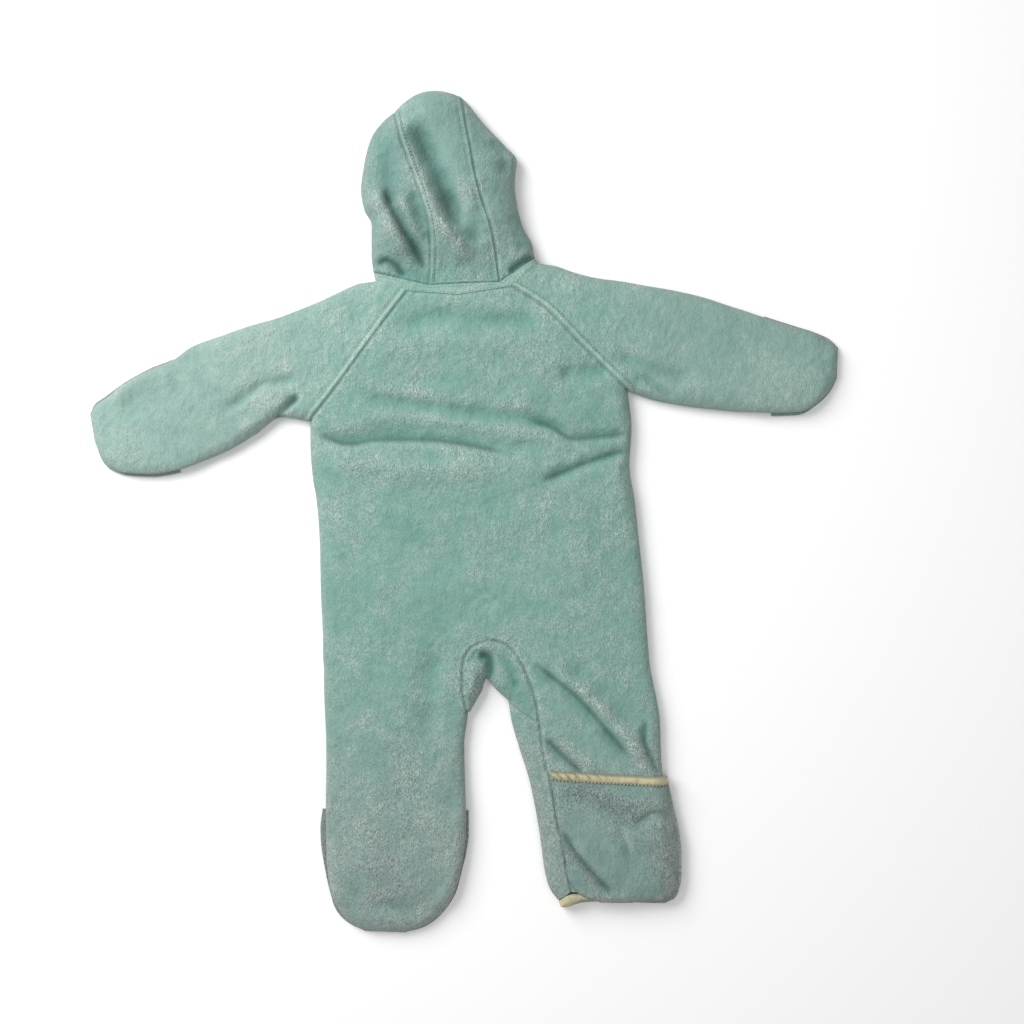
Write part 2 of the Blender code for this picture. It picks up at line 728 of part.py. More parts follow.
def build_fronts(fleece):
    """Both fronts, on the table, with the zip's slot between them."""
    slot, gap = ZIP_SLOT / 2, SEAM_GAP / 2
    apex_x, apex_y = FRONT_APEX
    left_inner = joined(polyline((
        (0, ZIP_X - slot, FRONT_NECK_LOW),
        (ZIP_END_PLACE, ZIP_X - slot, ZIP_FOOT),
        (SEAM_START_PLACE, ZIP_X - gap, FRONT_SEAM_TOP),
        (FRONT_APEX_PLACE, apex_x - gap, apex_y),
        (LEFT_TIP, *BACK_LEFT[LEFT_TIP][2:]),
    )), CENTRE_LEFT, LEFT_TIP)
    beside = [LEFT_TIP - (LEFT_TIP - FRONT_APEX_PLACE) * row / GUSSET_APEX for row in (0, 0.3, 0.5, 1, 2)]
    left_rows = [*front_places(beside), 15, 16, POUCH_ROW, 17, 18, 19]
    left_outer = joined(front_raglan(neck_front("left"), BACK_LEFT[UNDERARM][:2]), SIDE_LEFT, UNDERARM)
    cloth("front_left", [
        loft(left_outer, left_inner, left_rows, "lower", ("flush", UNDERARM - 0.1, "open"),
             ("flush", LEFT_TIP - 0.1, "open"), 2),
    ], fleece)

    span = (RIGHT_EDGE - FRONT_APEX_PLACE) / (GUSSET_OUTLINE - GUSSET_APEX)
    right_inner = joined(polyline((
        (0, ZIP_X + slot, FRONT_NECK_LOW),
        (ZIP_END_PLACE, ZIP_X + slot, ZIP_FOOT),
        (SEAM_START_PLACE, ZIP_X + gap, FRONT_SEAM_TOP),
        (FRONT_APEX_PLACE, apex_x + gap, apex_y),
        (RIGHT_EDGE - 1.25 * span, *BESIDE_GUSSET),
        (RIGHT_EDGE, *INNER_RIGHT[0]),
    )), lambda places: INNER_EDGE(places - RIGHT_EDGE), RIGHT_EDGE)
    right_outer = joined(front_raglan(neck_front("right"), BACK_RIGHT[UNDERARM][2:]), SIDE_RIGHT, UNDERARM)
    strip_rows = halves(RIGHT_TIP, 20)
    inner_steps = np.interp(strip_rows, [15, 15.4, 16, 17, 18, 19, 20], [0, 1, 2, 3, 4, 5, 6])
    beside = [RIGHT_EDGE - (GUSSET_OUTLINE - row) * span for row in (5, 5.5, 6, 6.5)]
    rows = [*front_places(beside), *(RIGHT_EDGE + inner_steps)]
    under = loft(right_inner, right_outer, rows, "lower", ("flush", RIGHT_EDGE - 0.1, "fold"),
                 ("flush", UNDERARM - 0.1, "open"), 2)
    over = loft(
        lambda places: INNER_EDGE(np.interp(places, strip_rows, inner_steps)),
        INSEAM_RIGHT, strip_rows, "upper", "fold", "seam", 1, ("seam", "flush"),
    )
    cloth("front_right", [under, over], fleece)


def gusset_arch(places):
    """Seam between the gusset and the back panel, in step with the gusset's free edge."""
    places = np.asarray(places, float)
    turn = LEFT_TIP - CROTCH
    left = CENTRE_LEFT(LEFT_TIP - np.minimum(places, turn))
    right = INSEAM_RIGHT(CROTCH + np.maximum(places - turn, 0))
    return np.where(places[:, None] <= turn, left, right)


def build_gusset(fleece):
    """Pointed oval folded over the crotch edge, with a smaller half on the front."""
    places = [0.3, *halves(0.5, 9)]
    over = loft(FREE_EDGE, gusset_arch, places, "upper", ("fold", GUSSET_OUTLINE, "flush"), "seam", 1)
    front = polyline((
        (0, *GUSSET_FREE[0]), (GUSSET_APEX, *FRONT_APEX), (GUSSET_OUTLINE, *GUSSET_FREE[GUSSET_OUTLINE]),
    ))
    below = [place for place in places if 1 <= place < GUSSET_OUTLINE - 1]
    under = loft(FREE_EDGE, front, below, "lower", "fold", "seam", 1)
    cloth("crotch_gusset", [over, under], fleece)


def build_sleeve(side, arm, under, rows, fleece, cream):
    """Sleeve in one cut round the arm, with its mitt flap and binding on the table side."""
    last = len(rows) - 1
    sign = 0 if side == "left" else 1
    over = loft(arm, under, [*halves(0, 5), *range(6, last), last - 0.5, last], "upper",
                ("fold", CUFF, "open"), ("seam", UNDERARM, "open"), 4, ("flush", "open"))
    front = joined(front_raglan(neck_front(side), rows[UNDERARM][2:]), under, UNDERARM)
    below = loft(arm, front, [*halves(0, 5), 6, 7, 8, 8.5, 9, 10, CUFF], "lower", "fold",
                 ("seam", UNDERARM, "open"), 1)
    cloth(f"sleeve_{side}", [over, below], fleece)

    cloth(f"mitt_{side}", [
        loft(arm, under, halves(MITT_EDGE, last), "table", "proud", "proud", 3),
    ], fleece)

    pouch = POUCHES[sign]
    back = -np.array([pouch.dx, pouch.dy])
    corner_a, corner_b = arm([MITT_EDGE])[0], under([MITT_EDGE])[0]
    cloth(f"mitt_binding_{side}", [
        loft(
            lambda places: corner_a + np.outer(places, back),
            lambda places: corner_b + np.outer(places, back),
            (SEAM_GAP, SEAM_GAP + BINDING_WIDTH), "table", "proud", "proud", 1,
        ),
    ], cream)


def build_hood(fleece):
    """Three hood pieces, each wrapped under to the face opening."""
    rows = [0, 0.5, 1, 1.5, 2, 2.5, 3, 3.5, 4, 4.5, 5, 5.5, 6, 6.5, 7, 7.5, 8, HOOD_TIP]
    for side, edge, seam, opening in (
        ("left", HOOD_EDGE_LEFT, HOOD_SEAM_LEFT, rail(OPENING_LEFT)),
        ("right", HOOD_EDGE_RIGHT, HOOD_SEAM_RIGHT, rail(OPENING_RIGHT)),
    ):
        over = loft(edge, seam, rows, "upper", "fold", "seam", 1)
        under = loft(edge, opening, [*rows, 8.7], "lower", "fold", "flush", 1)
        cloth(f"hood_side_{side}", [over, under], fleece)

    over = loft(HOOD_SEAM_LEFT, HOOD_SEAM_RIGHT, [*halves(0, 8), 8.5, 9], "upper", "flush", "flush", 4,
                ("flush", "fold"), CROWN_BOW)
    turn_left = polyline(((0, *HOOD_LEFT[-1][:2]), (1, *OPENING_LEFT[-1])))
    turn_right = polyline(((0, *HOOD_RIGHT[-1][:2]), (1, *OPENING_RIGHT[-1])))
    under = loft(turn_left, turn_right, [0, 0.04, 0.13, 0.3, 1], "lower", "flush", "flush", 4,
                 ("fold", "flush"), (CROWN_BOW[-1], 9))
    cloth("hood_centre", [over, under], fleece)


def build_neck_band(fleece):
    """Band over the neck seam, carried round both sides of the neck to the zip."""
    def between(p, q, share):
        return tuple(np.array(p) + share * (np.array(q) - np.array(p)))

    left_low, left_high = NECK_LOWER[0], NECK_UPPER[0]
    right_low, right_high = NECK_LOWER[-1], NECK_UPPER[-1]
    low = polyline([
        (0, *left_low), (1, *NECK_LOWER[1]), (2, *between(NECK_LOWER[1], NECK_LOWER[2], 0.45)),
        (3, *NECK_LOWER[2]), (4, *between(NECK_LOWER[2], NECK_LOWER[3], 0.8)),
        (5, *NECK_LOWER[3]), (6, *right_low),
    ])
    high = polyline([
        (0, *left_high), (1, *between(NECK_UPPER[0], NECK_UPPER[1], 0.6)), (2, *NECK_UPPER[1]),
        (3, *between(NECK_UPPER[1], NECK_UPPER[2], 0.4)), (4, *NECK_UPPER[2]),
        (5, *between(NECK_UPPER[2], NECK_UPPER[3], 0.35)), (6, *right_high),
    ])
    back_rows = [0, 0.067, 0.275, 0.6, *halves(1, 5), 5.4, 5.68, 5.92, 6]
    lofts = [loft(low, high, back_rows, "upper", "seam", "seam", 1, ("fold", "fold"))]
    for start_low, start_high, zip_edge in (
        (left_low, left_high, ZIP_X - ZIP_SLOT / 2),
        (right_low, right_high, ZIP_X + ZIP_SLOT / 2),
    ):
        front_low = polyline(((0, *start_low), (1, zip_edge, FRONT_NECK_LOW)))
        front_high = polyline(((0, *start_high), (1, zip_edge, FRONT_NECK_HIGH)))
        lofts.append(loft(front_low, front_high, [0, 0.023, 0.08, 0.3, 0.6, 0.8, 1], "lower",
                          "seam", "seam", 1, ("fold", "flush")))
    cloth("neck_band", lofts, fleece)


def build_feet(fleece, cream):
    """Both foot pouches, with their bindings, and the binding of the right leg's opening."""
    left_a, left_b = edge_a(POUCH_LEFT), edge_b(POUCH_LEFT)
    cloth("foot_pouch_left", [loft(left_a, left_b, range(8), "table", "flush", "flush", 3)], fleece)
    corner_a, corner_b = left_a([0])[0], left_b([0])[0]
    up = np.array([0.0, 1.0])
    cloth("foot_binding_left", [
        loft(
            lambda places: corner_a + np.outer(places, up),
            lambda places: corner_b + np.outer(places, up),
            (SEAM_GAP, SEAM_GAP + BINDING_WIDTH), "table", "flush", "flush", 1,
        ),
    ], cream)

    right_a, right_b = edge_a(POUCH_RIGHT), edge_b(POUCH_RIGHT)
    rows = [*halves(0, 5), 5.5, 5.8, 6]
    cloth("foot_pouch_right", [loft(right_a, right_b, rows, "over", "flush", "hang", 6)], fleece)
    top_a, top_b = right_a([0])[0], right_b([0])[0]
    cloth("foot_binding_right", [
        loft(
            lambda places: top_a + np.outer(places, up),
            lambda places: top_b + np.outer(places, up),
            (SEAM_GAP, SEAM_GAP + BINDING_WIDTH), "over", "flush", "hang", 6,
        ),
    ], cream)

    inner, corner = HEM_RIGHT[-1], HEM_RIGHT[-2]
    lower_top = polyline(((0, *inner), (1, *HEM_RIGHT[0])))
    lower_bottom = polyline((
        (0, *corner), (0.08, *HEM_RIGHT[3]), (0.25, *HEM_RIGHT[2]), (1, *HEM_RIGHT[1]),
    ))
    upper_top = polyline(((0, *inner), (1, 100, -360.4)))
    upper_bottom = polyline(((0, *corner), (1, 101, -368)))
    cloth("leg_hem_binding_right", [
        loft(lower_top, lower_bottom, (0, 0.0185, 0.065, 0.25, 0.6, 0.94, 0.98, 1), "lower", "seam", "flush",
             1, ("fold", "flush")),
        loft(upper_top, upper_bottom, (0, 0.2, 0.5, 1), "upper", "seam", "flush", 1, ("fold", "flush")),
    ], cream)


def box(bm, low, high):
    """A box between two corners, in millimetres."""
    low, high = np.array(low, float), np.array(high, float)
    made = bmesh.ops.create_cube(bm, size=1)
    for vert in made["verts"]:
        vert.co = [(low[i] + (vert.co[i] + 0.5) * (high[i] - low[i])) * MM for i in range(3)]


def bar_across(bm, radius, half_length):
    """A round bar along X on the pull's hinge, in millimetres."""
    hinge = Matrix.Translation((ZIP_X * MM, SLIDER_Y * MM, HINGE_Z * MM))
    place = hinge @ Matrix.Rotation(math.radians(90), 4, "Y")
    bmesh.ops.create_cone(bm, cap_ends=True, segments=32, radius1=radius * MM, radius2=radius * MM,
                          depth=2 * half_length * MM, matrix=place)


def helper(name, shape):
    """A hidden object for a Boolean, from a shape made in a new bmesh."""
    bm = bmesh.new()
    shape(bm)
    mesh = bpy.data.meshes.new(name)
    bm.to_mesh(mesh)
    bm.free()
    obj = bpy.data.objects.new(name, mesh)
    obj.hide_render = True
    obj.display_type = "WIRE"
    CUTTERS.objects.link(obj)
    return obj


def solid(name, finish, origin, shapes, holes=()):
    """An object with this origin: the shapes united, with the holes cut out."""
    bm = bmesh.new()
    shapes[0](bm)
    mesh = bpy.data.meshes.new(name)
    bm.to_mesh(mesh)
    bm.free()
    mesh.transform(Matrix.Translation(-origin))
    main = new_object(name, mesh, finish)
    main.location = origin
    for operation, functions in (("UNION", shapes[1:]), ("DIFFERENCE", holes)):
        for index, shape in enumerate(functions):
            modifier = main.modifiers.new(f"{operation.lower()}_{index}", "BOOLEAN")
            modifier.operation = operation
            modifier.object = helper(f"{name}_{operation.lower()}_{index}", shape)
    return main


def build_zip(tape, enamel):
    """Zip tape with its teeth, a closed slider at the neck and a hinged pull."""
    tape_z = ZIP_LIFT + WALL + SEAM_GAP
    teeth_z = tape_z - TEETH_THICK
    half = SLIDER_SIZE[1] / 2
    tape_end = SLIDER_Y + half - 3.4
    hinge = Vector((ZIP_X * MM, SLIDER_Y * MM, HINGE_Z * MM))
    solid("zip_tape", tape, Vector(), [
        lambda bm: box(bm, (ZIP_X - TAPE_WIDTH / 2, ZIP_FOOT + 3, tape_z),
                       (ZIP_X + TAPE_WIDTH / 2, tape_end, tape_z + TAPE_THICK)),
        lambda bm: box(bm, (ZIP_X - TEETH_WIDTH / 2, ZIP_FOOT + 8, teeth_z),
                       (ZIP_X + TEETH_WIDTH / 2, tape_end, tape_z + 0.2)),
    ])
    plate_top = teeth_z - SEAM_GAP
    plate_low = plate_top - SLIDER_SIZE[2]
    upper_low = tape_z + TAPE_THICK + SEAM_GAP
    width = SLIDER_SIZE[0] / 2
    ear = width - 0.4
    neck = ear - LUG_THICK - SEAM_GAP

    def lug(x):
        """A lug of the slider that starts at this X."""
        low = (x, SLIDER_Y - 1.2, HINGE_Z - 0.9)
        return lambda bm: box(bm, low, (x + LUG_THICK, SLIDER_Y + 1.2, plate_low + 0.2))

    solid("zip_slider", enamel, Vector(), [
        lambda bm: box(bm, (ZIP_X - width, SLIDER_Y - half, plate_low),
                       (ZIP_X + width, SLIDER_Y + half, plate_top)),
        lambda bm: box(bm, (ZIP_X - width, SLIDER_Y - half, upper_low),
                       (ZIP_X + width, SLIDER_Y + half, upper_low + SLIDER_SIZE[2])),
        lambda bm: box(bm, (ZIP_X - 1.6, SLIDER_Y + half - 2.9, plate_top - 0.2),
                       (ZIP_X + 1.6, SLIDER_Y + half - 0.4, upper_low + 0.2)),
        lug(ZIP_X - ear),
        lug(ZIP_X + ear - LUG_THICK),
        lambda bm: bar_across(bm, PIN_RADIUS, ear - 0.3),
    ])
    solid("zip_pull", enamel, hinge, [
        lambda bm: bar_across(bm, EYE_RADIUS, neck),
        lambda bm: box(bm, (ZIP_X - neck, SLIDER_Y - 4.5, HINGE_Z - PULL_THICK / 2),
                       (ZIP_X + neck, SLIDER_Y - 0.9, HINGE_Z + PULL_THICK / 2)),
        lambda bm: box(bm, (ZIP_X - PULL_WIDTH / 2, SLIDER_Y - PULL_LENGTH, HINGE_Z - PULL_THICK / 2),
                       (ZIP_X + PULL_WIDTH / 2, SLIDER_Y - 4.2, HINGE_Z + PULL_THICK / 2)),
    ], [lambda bm: bar_across(bm, EYE_HOLE, neck + 1)])


def set_origin():
    """Moves the suit so that the origin is on the table, under the middle of its bounding box."""
    corners = [obj.matrix_world @ vert.co for obj in COLLECTION.objects for vert in obj.data.vertices]
    low, high = np.min(corners, axis=0), np.max(corners, axis=0)
    shift = Vector((-(low[0] + high[0]) / 2, -(low[1] + high[1]) / 2, -low[2]))
    for obj in (*COLLECTION.objects, *CUTTERS.objects):
        obj.location += shift


for old in list(bpy.data.objects):
    bpy.data.objects.remove(old)

COLLECTION = bpy.data.collections.new(NAME)
CUTTERS = bpy.data.collections.new("cutters")
bpy.context.scene.collection.children.link(COLLECTION)
bpy.context.scene.collection.children.link(CUTTERS)

plush = material(*FLEECE)
binding = material(*CREAM)
build_back(plush)
build_fronts(plush)
build_gusset(plush)
build_sleeve("left", ARM_LEFT, UNDER_LEFT, SLEEVE_LEFT, plush, binding)
build_sleeve("right", ARM_RIGHT, UNDER_RIGHT, SLEEVE_RIGHT, plush, binding)
build_hood(plush)
build_neck_band(plush)
build_feet(plush, binding)
build_zip(material(*TAPE), material(*ENAMEL))
bpy.context.view_layer.update()
set_origin()
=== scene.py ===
"""Looks of a baby's hooded, footed bunting suit of plush fleece, laid face down on a table.

The tables hold real millimetres in the plane of the table, with the hood towards +Y and the back uppermost.
Each row is one section across a panel, from its edge a to its edge b. A panel is a fine sheet through its
rows, raised to the height of the laid-out suit, with the creases, seams and puckers of worn fleece.
"""

import logging
import math
from collections.abc import Callable, Iterable, Sequence
from dataclasses import dataclass, field
from enum import Enum

import bmesh
import bpy
import numpy as np
from mathutils import Matrix, Vector
from mathutils.kdtree import KDTree


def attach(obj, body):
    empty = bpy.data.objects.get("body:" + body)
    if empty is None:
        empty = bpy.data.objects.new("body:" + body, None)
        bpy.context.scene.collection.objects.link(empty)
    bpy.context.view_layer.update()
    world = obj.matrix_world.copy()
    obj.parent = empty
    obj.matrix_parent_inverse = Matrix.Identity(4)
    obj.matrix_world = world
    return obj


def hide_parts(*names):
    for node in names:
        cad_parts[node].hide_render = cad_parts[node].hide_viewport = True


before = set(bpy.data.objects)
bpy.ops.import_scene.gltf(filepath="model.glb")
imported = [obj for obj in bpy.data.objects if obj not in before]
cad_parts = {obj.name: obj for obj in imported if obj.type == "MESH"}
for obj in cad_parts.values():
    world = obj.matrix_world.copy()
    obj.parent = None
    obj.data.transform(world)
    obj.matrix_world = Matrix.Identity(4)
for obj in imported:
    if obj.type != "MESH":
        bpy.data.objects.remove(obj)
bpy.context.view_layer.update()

LOG = logging.getLogger("bunting_suit")

MM = 0.001
# From the tables' origin to the middle of the suit's box.
SHIFT = np.array((1.0778, 0.4541))
WALL = 3.0
GAP = 0.3
LAYER = WALL + GAP
# Spacing of a sheet's points where it shows, and where it lies on the table.
FINE, COARSE = 2.25, 4.5

Curve = Callable[[np.ndarray], np.ndarray]


class Side(Enum):
    """Which surface of the laid-out suit a sheet follows."""

    UPPER = "upper"
    LOWER = "lower"
    TABLE = "table"
    OVER = "over"


# Left half of the back. a: raglan seam, side seam, outer leg. b: centre back, gusset seam, inner leg.
BACK_LEFT = (
    (-54, 209, -7, 205), (-76, 180, -4, 178), (-98, 150, -1, 146), (-122, 117, 2, 114), (-147, 86, 5, 87),
    (-147, 64, 6, 63), (-145, 35, 8, 35), (-141, 10, 10, 10), (-138, -31, 13, -31), (-137, -76, 18, -76),
    (-135, -122, 23, -120), (-135, -136, 6, -128), (-134, -152, -2, -144), (-134, -169, -3, -167),
    (-133, -194, 2, -194), (-132, -221, -1, -221), (-132, -259, 0, -262), (-132, -293, 1, -297),
    (-131, -331, -2, -329), (-127, -362, -11, -363), (-118, -382, -25, -384), (-105, -394, -42, -395),
    (-90, -399, -60, -400),
)
# Right half of the back. a: centre back, gusset seam, inseam. b: raglan seam, side seam, outer leg.
BACK_RIGHT = (
    (-7, 205, 44, 213), (-4, 178, 74, 194), (-1, 146, 103, 165), (2, 114, 129, 139), (5, 87, 154, 115),
    (6, 63, 158, 80), (8, 35, 156, 44), (10, 10, 161, 11), (13, -31, 165, -27), (18, -76, 170, -74),
    (23, -120, 173, -119), (39, -125, 174, -131), (52, -140, 175, -143), (61, -160, 178, -160),
    (67, -179, 182, -179), (70, -199, 185, -200), (75, -233, 186, -231), (81, -255, 188, -255),
    (89, -301, 193, -301), (97, -340, 193, -340), (100, -359, 190, -360),
)
UNDERARM, CROTCH, LEFT_TIP, RIGHT_EDGE, RIGHT_TIP = 4, 10, 14, 14, 15
# Inner outline of the right leg, in step with the last rows of BACK_RIGHT from RIGHT_EDGE on.
INNER_RIGHT = (
    (41, -179), (44, -198), (52, -226), (61, -255), (70, -301), (76, -343), (80.6, -358), (87.5, -367.6),
)
# The inseam's places, and those of INNER_RIGHT that lie beside them.
STRIP_ROWS = ((15, 15.4, 16, 17, 18, 19, 19.6, 20), (0, 1, 2, 3, 4, 5, 6, 7))
LEFT_END, RIGHT_END, INNER_END = len(BACK_LEFT) - 1, len(BACK_RIGHT) - 1, len(INNER_RIGHT) - 1
# Free edge of the gusset, from its left tip over the crotch to its right tip.
GUSSET_FREE = (
    (2, -194), (10, -180), (16, -169), (18, -162), (20, -158),
    (24, -162), (30, -169), (41, -179), (54, -188), (65, -195.6),
)
GUSSET_APEX, GUSSET_OUTLINE, GUSSET_END = 4, 7, len(GUSSET_FREE) - 1
# Sleeves. a: the fold along the top of the arm. b: raglan seam, then underarm seam.
SLEEVE_LEFT = (
    (-85, 219, -54, 209), (-100, 217, -76, 180), (-117, 210, -98, 150), (-138, 200, -122, 117),
    (-158, 192, -147, 86), (-179, 184, -174, 90), (-204, 177, -199, 74), (-230, 168, -222, 60),
    (-257, 158, -247, 49), (-279, 143, -272, 40), (-299, 135, -298, 36), (-323, 122, -321, 37),
    (-341, 109, -337, 42), (-353, 100, -346, 51), (-357, 91, -353, 68),
)
SLEEVE_RIGHT = (
    (69, 236, 44, 213), (84, 234, 74, 194), (105, 227, 103, 165), (126, 222, 129, 139), (149, 219, 154, 115),
    (171, 215, 176, 107), (195, 211, 200, 102), (222, 205, 230, 98), (253, 195, 262, 95), (285, 184, 292, 94),
    (313, 175, 317, 95), (332, 169, 334, 104), (347, 162, 348, 118), (355, 154, 354, 130),
)
CUFF, MITT_EDGE = 11, 9.0
SLEEVE_BAND, HOOD_BAND = 6.2, 4.2
# Hood sides. a: outline. b: seam to the centre strip. The last row is where the seam meets the outline.
HOOD_LEFT = (
    (-87, 227, -34, 213.5), (-89, 245, -32, 248), (-89, 272, -34, 271), (-96, 287, -38, 286),
    (-99, 306, -44, 305), (-96, 330, -52, 328), (-89, 355, -60, 351), (-77, 371, -64, 366),
    (-70, 377, -66, 374), (-67, 379, -67, 379),
)
HOOD_RIGHT = (
    (66, 241, 33, 216.5), (63, 255, 29, 246), (55, 270, 24, 270), (49, 293, 16, 294), (47, 313, 10, 317),
    (49, 333, 6, 340), (38, 347, 2, 360), (18, 368, -1, 378), (2, 388, -3, 389), (-3, 393, -3, 393),
)
CROWN_BOW = (0, 0, 0, 0, 1, 3, 7, 10, 12, 13)
HOOD_END, HOOD_TIP, HOOD_TURN = len(HOOD_LEFT) - 1, 8.5, 8.8
# Face opening on the table side, in step with the hood sides' rows.
OPENING_LEFT = (
    (-16, 200), (-31, 223), (-46, 251), (-53, 273), (-59, 296),
    (-61, 320), (-59, 337), (-56, 346), (-53, 351), (-51, 354),
)
OPENING_RIGHT = (
    (1, 200), (12, 225), (22, 251), (25, 276), (24, 300),
    (20, 325), (13, 344), (3, 357), (-3, 363), (-6, 365),
)
NECK_LOWER = ((-85, 219), (-54, 209), (-7, 205), (44, 213), (69, 236))
NECK_UPPER = ((-86.8, 226.4), (-34, 213.5), (33, 216.5), (66.2, 240.4))
FRONT_NECK_LOW, FRONT_NECK_HIGH = 184.0, 194.0
FRONT_RAGLAN_X = {"left": -69.0, "right": 55.0}
FRONT_APEX, FRONT_APEX_PLACE = (12.0, -128.0), 10.4
FRONT_SEAM_TOP = -62.0
ZIP_X, ZIP_SLOT, ZIP_FOOT = -7.5, 9.0, -50.0
ZIP_END_PLACE, SEAM_START_PLACE = 8.3, 8.8
FRONT_STOPS = (UNDERARM, ZIP_END_PLACE, SEAM_START_PLACE, FRONT_APEX_PLACE)
# Where the left front ends at the bottom, under the foot pouch.
LEFT_FRONT_END = 19
# Foot pouches: the left one lies on the table, the right one on the back of the leg.
POUCH_LEFT = (
    (-136, -283, 3, -285), (-138, -302, 3, -306), (-137, -319, 1, -323), (-134, -338, -3, -340),
    (-129, -361, -9, -362), (-123, -379, -22, -382), (-110, -392, -39, -395), (-95, -399, -58, -400.5),
)
POUCH_RIGHT = (
    (82, -253, 193, -259), (85, -279, 198, -281), (89, -301, 203, -304), (94, -321, 205, -324),
    (96, -341, 205, -343), (103, -355, 203, -357), (113, -363, 198.5, -366), (128, -368.5, 188, -370.5),
)
HEM_RIGHT = ((190, -361), (187, -368), (112, -372), (94.8, -375.9), (90.5, -374.8), (88.8, -368.8))
BINDING_WIDTH, WIDE_BINDING = 7.0, 8.6


@dataclass(frozen=True)
class Crease:
    """One crease: height in mm (a trough is negative), half width, and a lap that stands on its left."""

    height: float
    width: float
    points: tuple[tuple[float, float], ...]
    lap: float = 0.0


CREASES = (
    Crease(-3.6, 9, ((-66, 175), (-18, 185), (13, 180), (74, 180))),
    Crease(2.2, 13, ((-100, 152), (-14, 159), (81, 159))),
    Crease(-1.6, 9, ((-81, 123), (-33, 125), (5, 122))),
    Crease(-3.5, 8, ((138, 135), (116, 132), (88, 129))),
    Crease(-4.5, 8, ((-110, 112), (-54, 101), (2, 94), (69, 85), (108, 72))),
    Crease(-3.0, 5, ((58, 88), (82, 81), (102, 70), (132, 72), (158, 76)), -0.7),
    Crease(-4.0, 9, ((-146, 86), (-110, 70), (-70, 76), (-10, 73), (42, 62), (90, 60))),
    Crease(-3.0, 4.5, ((-147, 80), (-128, 70), (-108, 65), (-82, 69), (-40, 69), (8, 63), (46, 54)), -1.6),
    Crease(3.0, 11, ((-133, 53), (-88, 45), (-54, 40), (2, 42), (35, 27))),
    Crease(-4.0, 6, ((158, 60), (125, 50), (87, 35), (69, 28)), -1.2),
    Crease(-2.0, 3.5, ((156, 43), (146, 40))),
    Crease(-2.8, 5, ((-232, 94), (-205, 110), (-188, 121), (-156, 125))),
    Crease(-6.5, 3.4, ((-181, 88), (-170, 98), (-157, 110)), -1.6),
    Crease(2.0, 6, ((-214, 76), (-190, 84), (-172, 84))),
    Crease(-2.2, 12, ((-330, 90), (-300, 110), (-262, 118))),
    Crease(-1.6, 5, ((-345, 66), (-340, 48), (-326, 42))),
    Crease(-3.4, 7, ((139, 150), (183, 133), (217, 124))),
    Crease(-3.0, 4, ((159, 119), (169, 127), (198, 106))),
    Crease(-13, 11, ((-50, 366), (-36, 342), (-22, 312), (-12, 286), (-4, 262))),
    Crease(6.0, 9, ((-44, 318), (-27, 282), (-10, 254), (4, 234))),
    Crease(-5.0, 6, ((-50, 300), (-40, 272), (-30, 248))),
    Crease(-3.5, 9, ((16, 300), (12, 272), (8, 250))),
    Crease(-8.0, 6, ((-76, 306), (-70, 290), (-58, 266), (-44, 243), (-37, 226)), -1.6),
    Crease(5.0, 9, ((-84, 300), (-68, 268), (-52, 240))),
    Crease(-3.5, 9, ((-78, 338), (-68, 312), (-61, 288))),
    Crease(-4.0, 3.5, ((-83, 233), (-75, 237), (-65, 232), (-56, 221)), 0.8),
    Crease(-4.5, 3.5, ((41, 225), (50, 232), (65, 242)), 0.8),
    Crease(-4.0, 8, ((28, 352), (37, 335), (39, 316))),
    Crease(-2.5, 6, ((46, 285), (52, 262), (57, 244))),
    Crease(-4.5, 7, ((64, -141), (78, -153), (106, -176), (138, -212), (158, -236)), 0.6),
    Crease(3.4, 9, ((79, -144), (115, -173), (150, -209), (178, -246))),
    Crease(-3.2, 11, ((92, -140), (128, -172), (162, -207))),
    Crease(-3.5, 6, ((76, -214), (90, -229), (112, -248)), 0.9),
    Crease(2.0, 7, ((82, -205), (100, -222), (126, -244))),
    Crease(-2.6, 4, ((170, -196), (169, -214), (176, -234), (183, -250)), 0.5),
    Crease(-7.0, 5, ((12, -134), (23, -139), (24, -150), (20, -160)), 1.0),
    Crease(2.5, 6, ((10, -140), (9, -156), (8, -176))),
    Crease(-2.4, 4, ((30, -136), (44, -150), (50, -168))),
    Crease(-3.0, 11, ((-19, -126), (-34, -162), (-35, -215))),
    Crease(-1.6, 10, ((0, -264), (-17, -281))),
    Crease(-1.5, 8, ((-114, -350), (-86, -370), (-52, -374), (-24, -354))),
    Crease(-1.4, 14, ((-60, -10), (-10, -40), (60, -30))),
    Crease(1.3, 14, ((-100, -60), (-40, -75), (20, -60))),
)
POUCH_CREASES = (
    Crease(-3.4, 10, ((92, -262), (122, -272), (146, -292), (158, -322), (160, -345))),
    Crease(-3.6, 4.2, ((160, -298), (170, -289), (183, -285), (197, -292))),
    Crease(-3.4, 5.5, ((89, -297), (103, -320), (123, -344), (140, -362)), 0.5),
    Crease(2.2, 8, ((104, -308), (121, -330), (146, -352))),
    Crease(1.8, 9, ((100, -268), (140, -272), (176, -274))),
)


@dataclass(frozen=True)
class NapAndShadeStrip:
    """A strip where the pile lies another way, or a strip of painted shade: how open the pile stands, how
    much paler it is, and half its width.
    """

    open: float
    tone: float
    width: float
    points: tuple[tuple[float, float], ...]


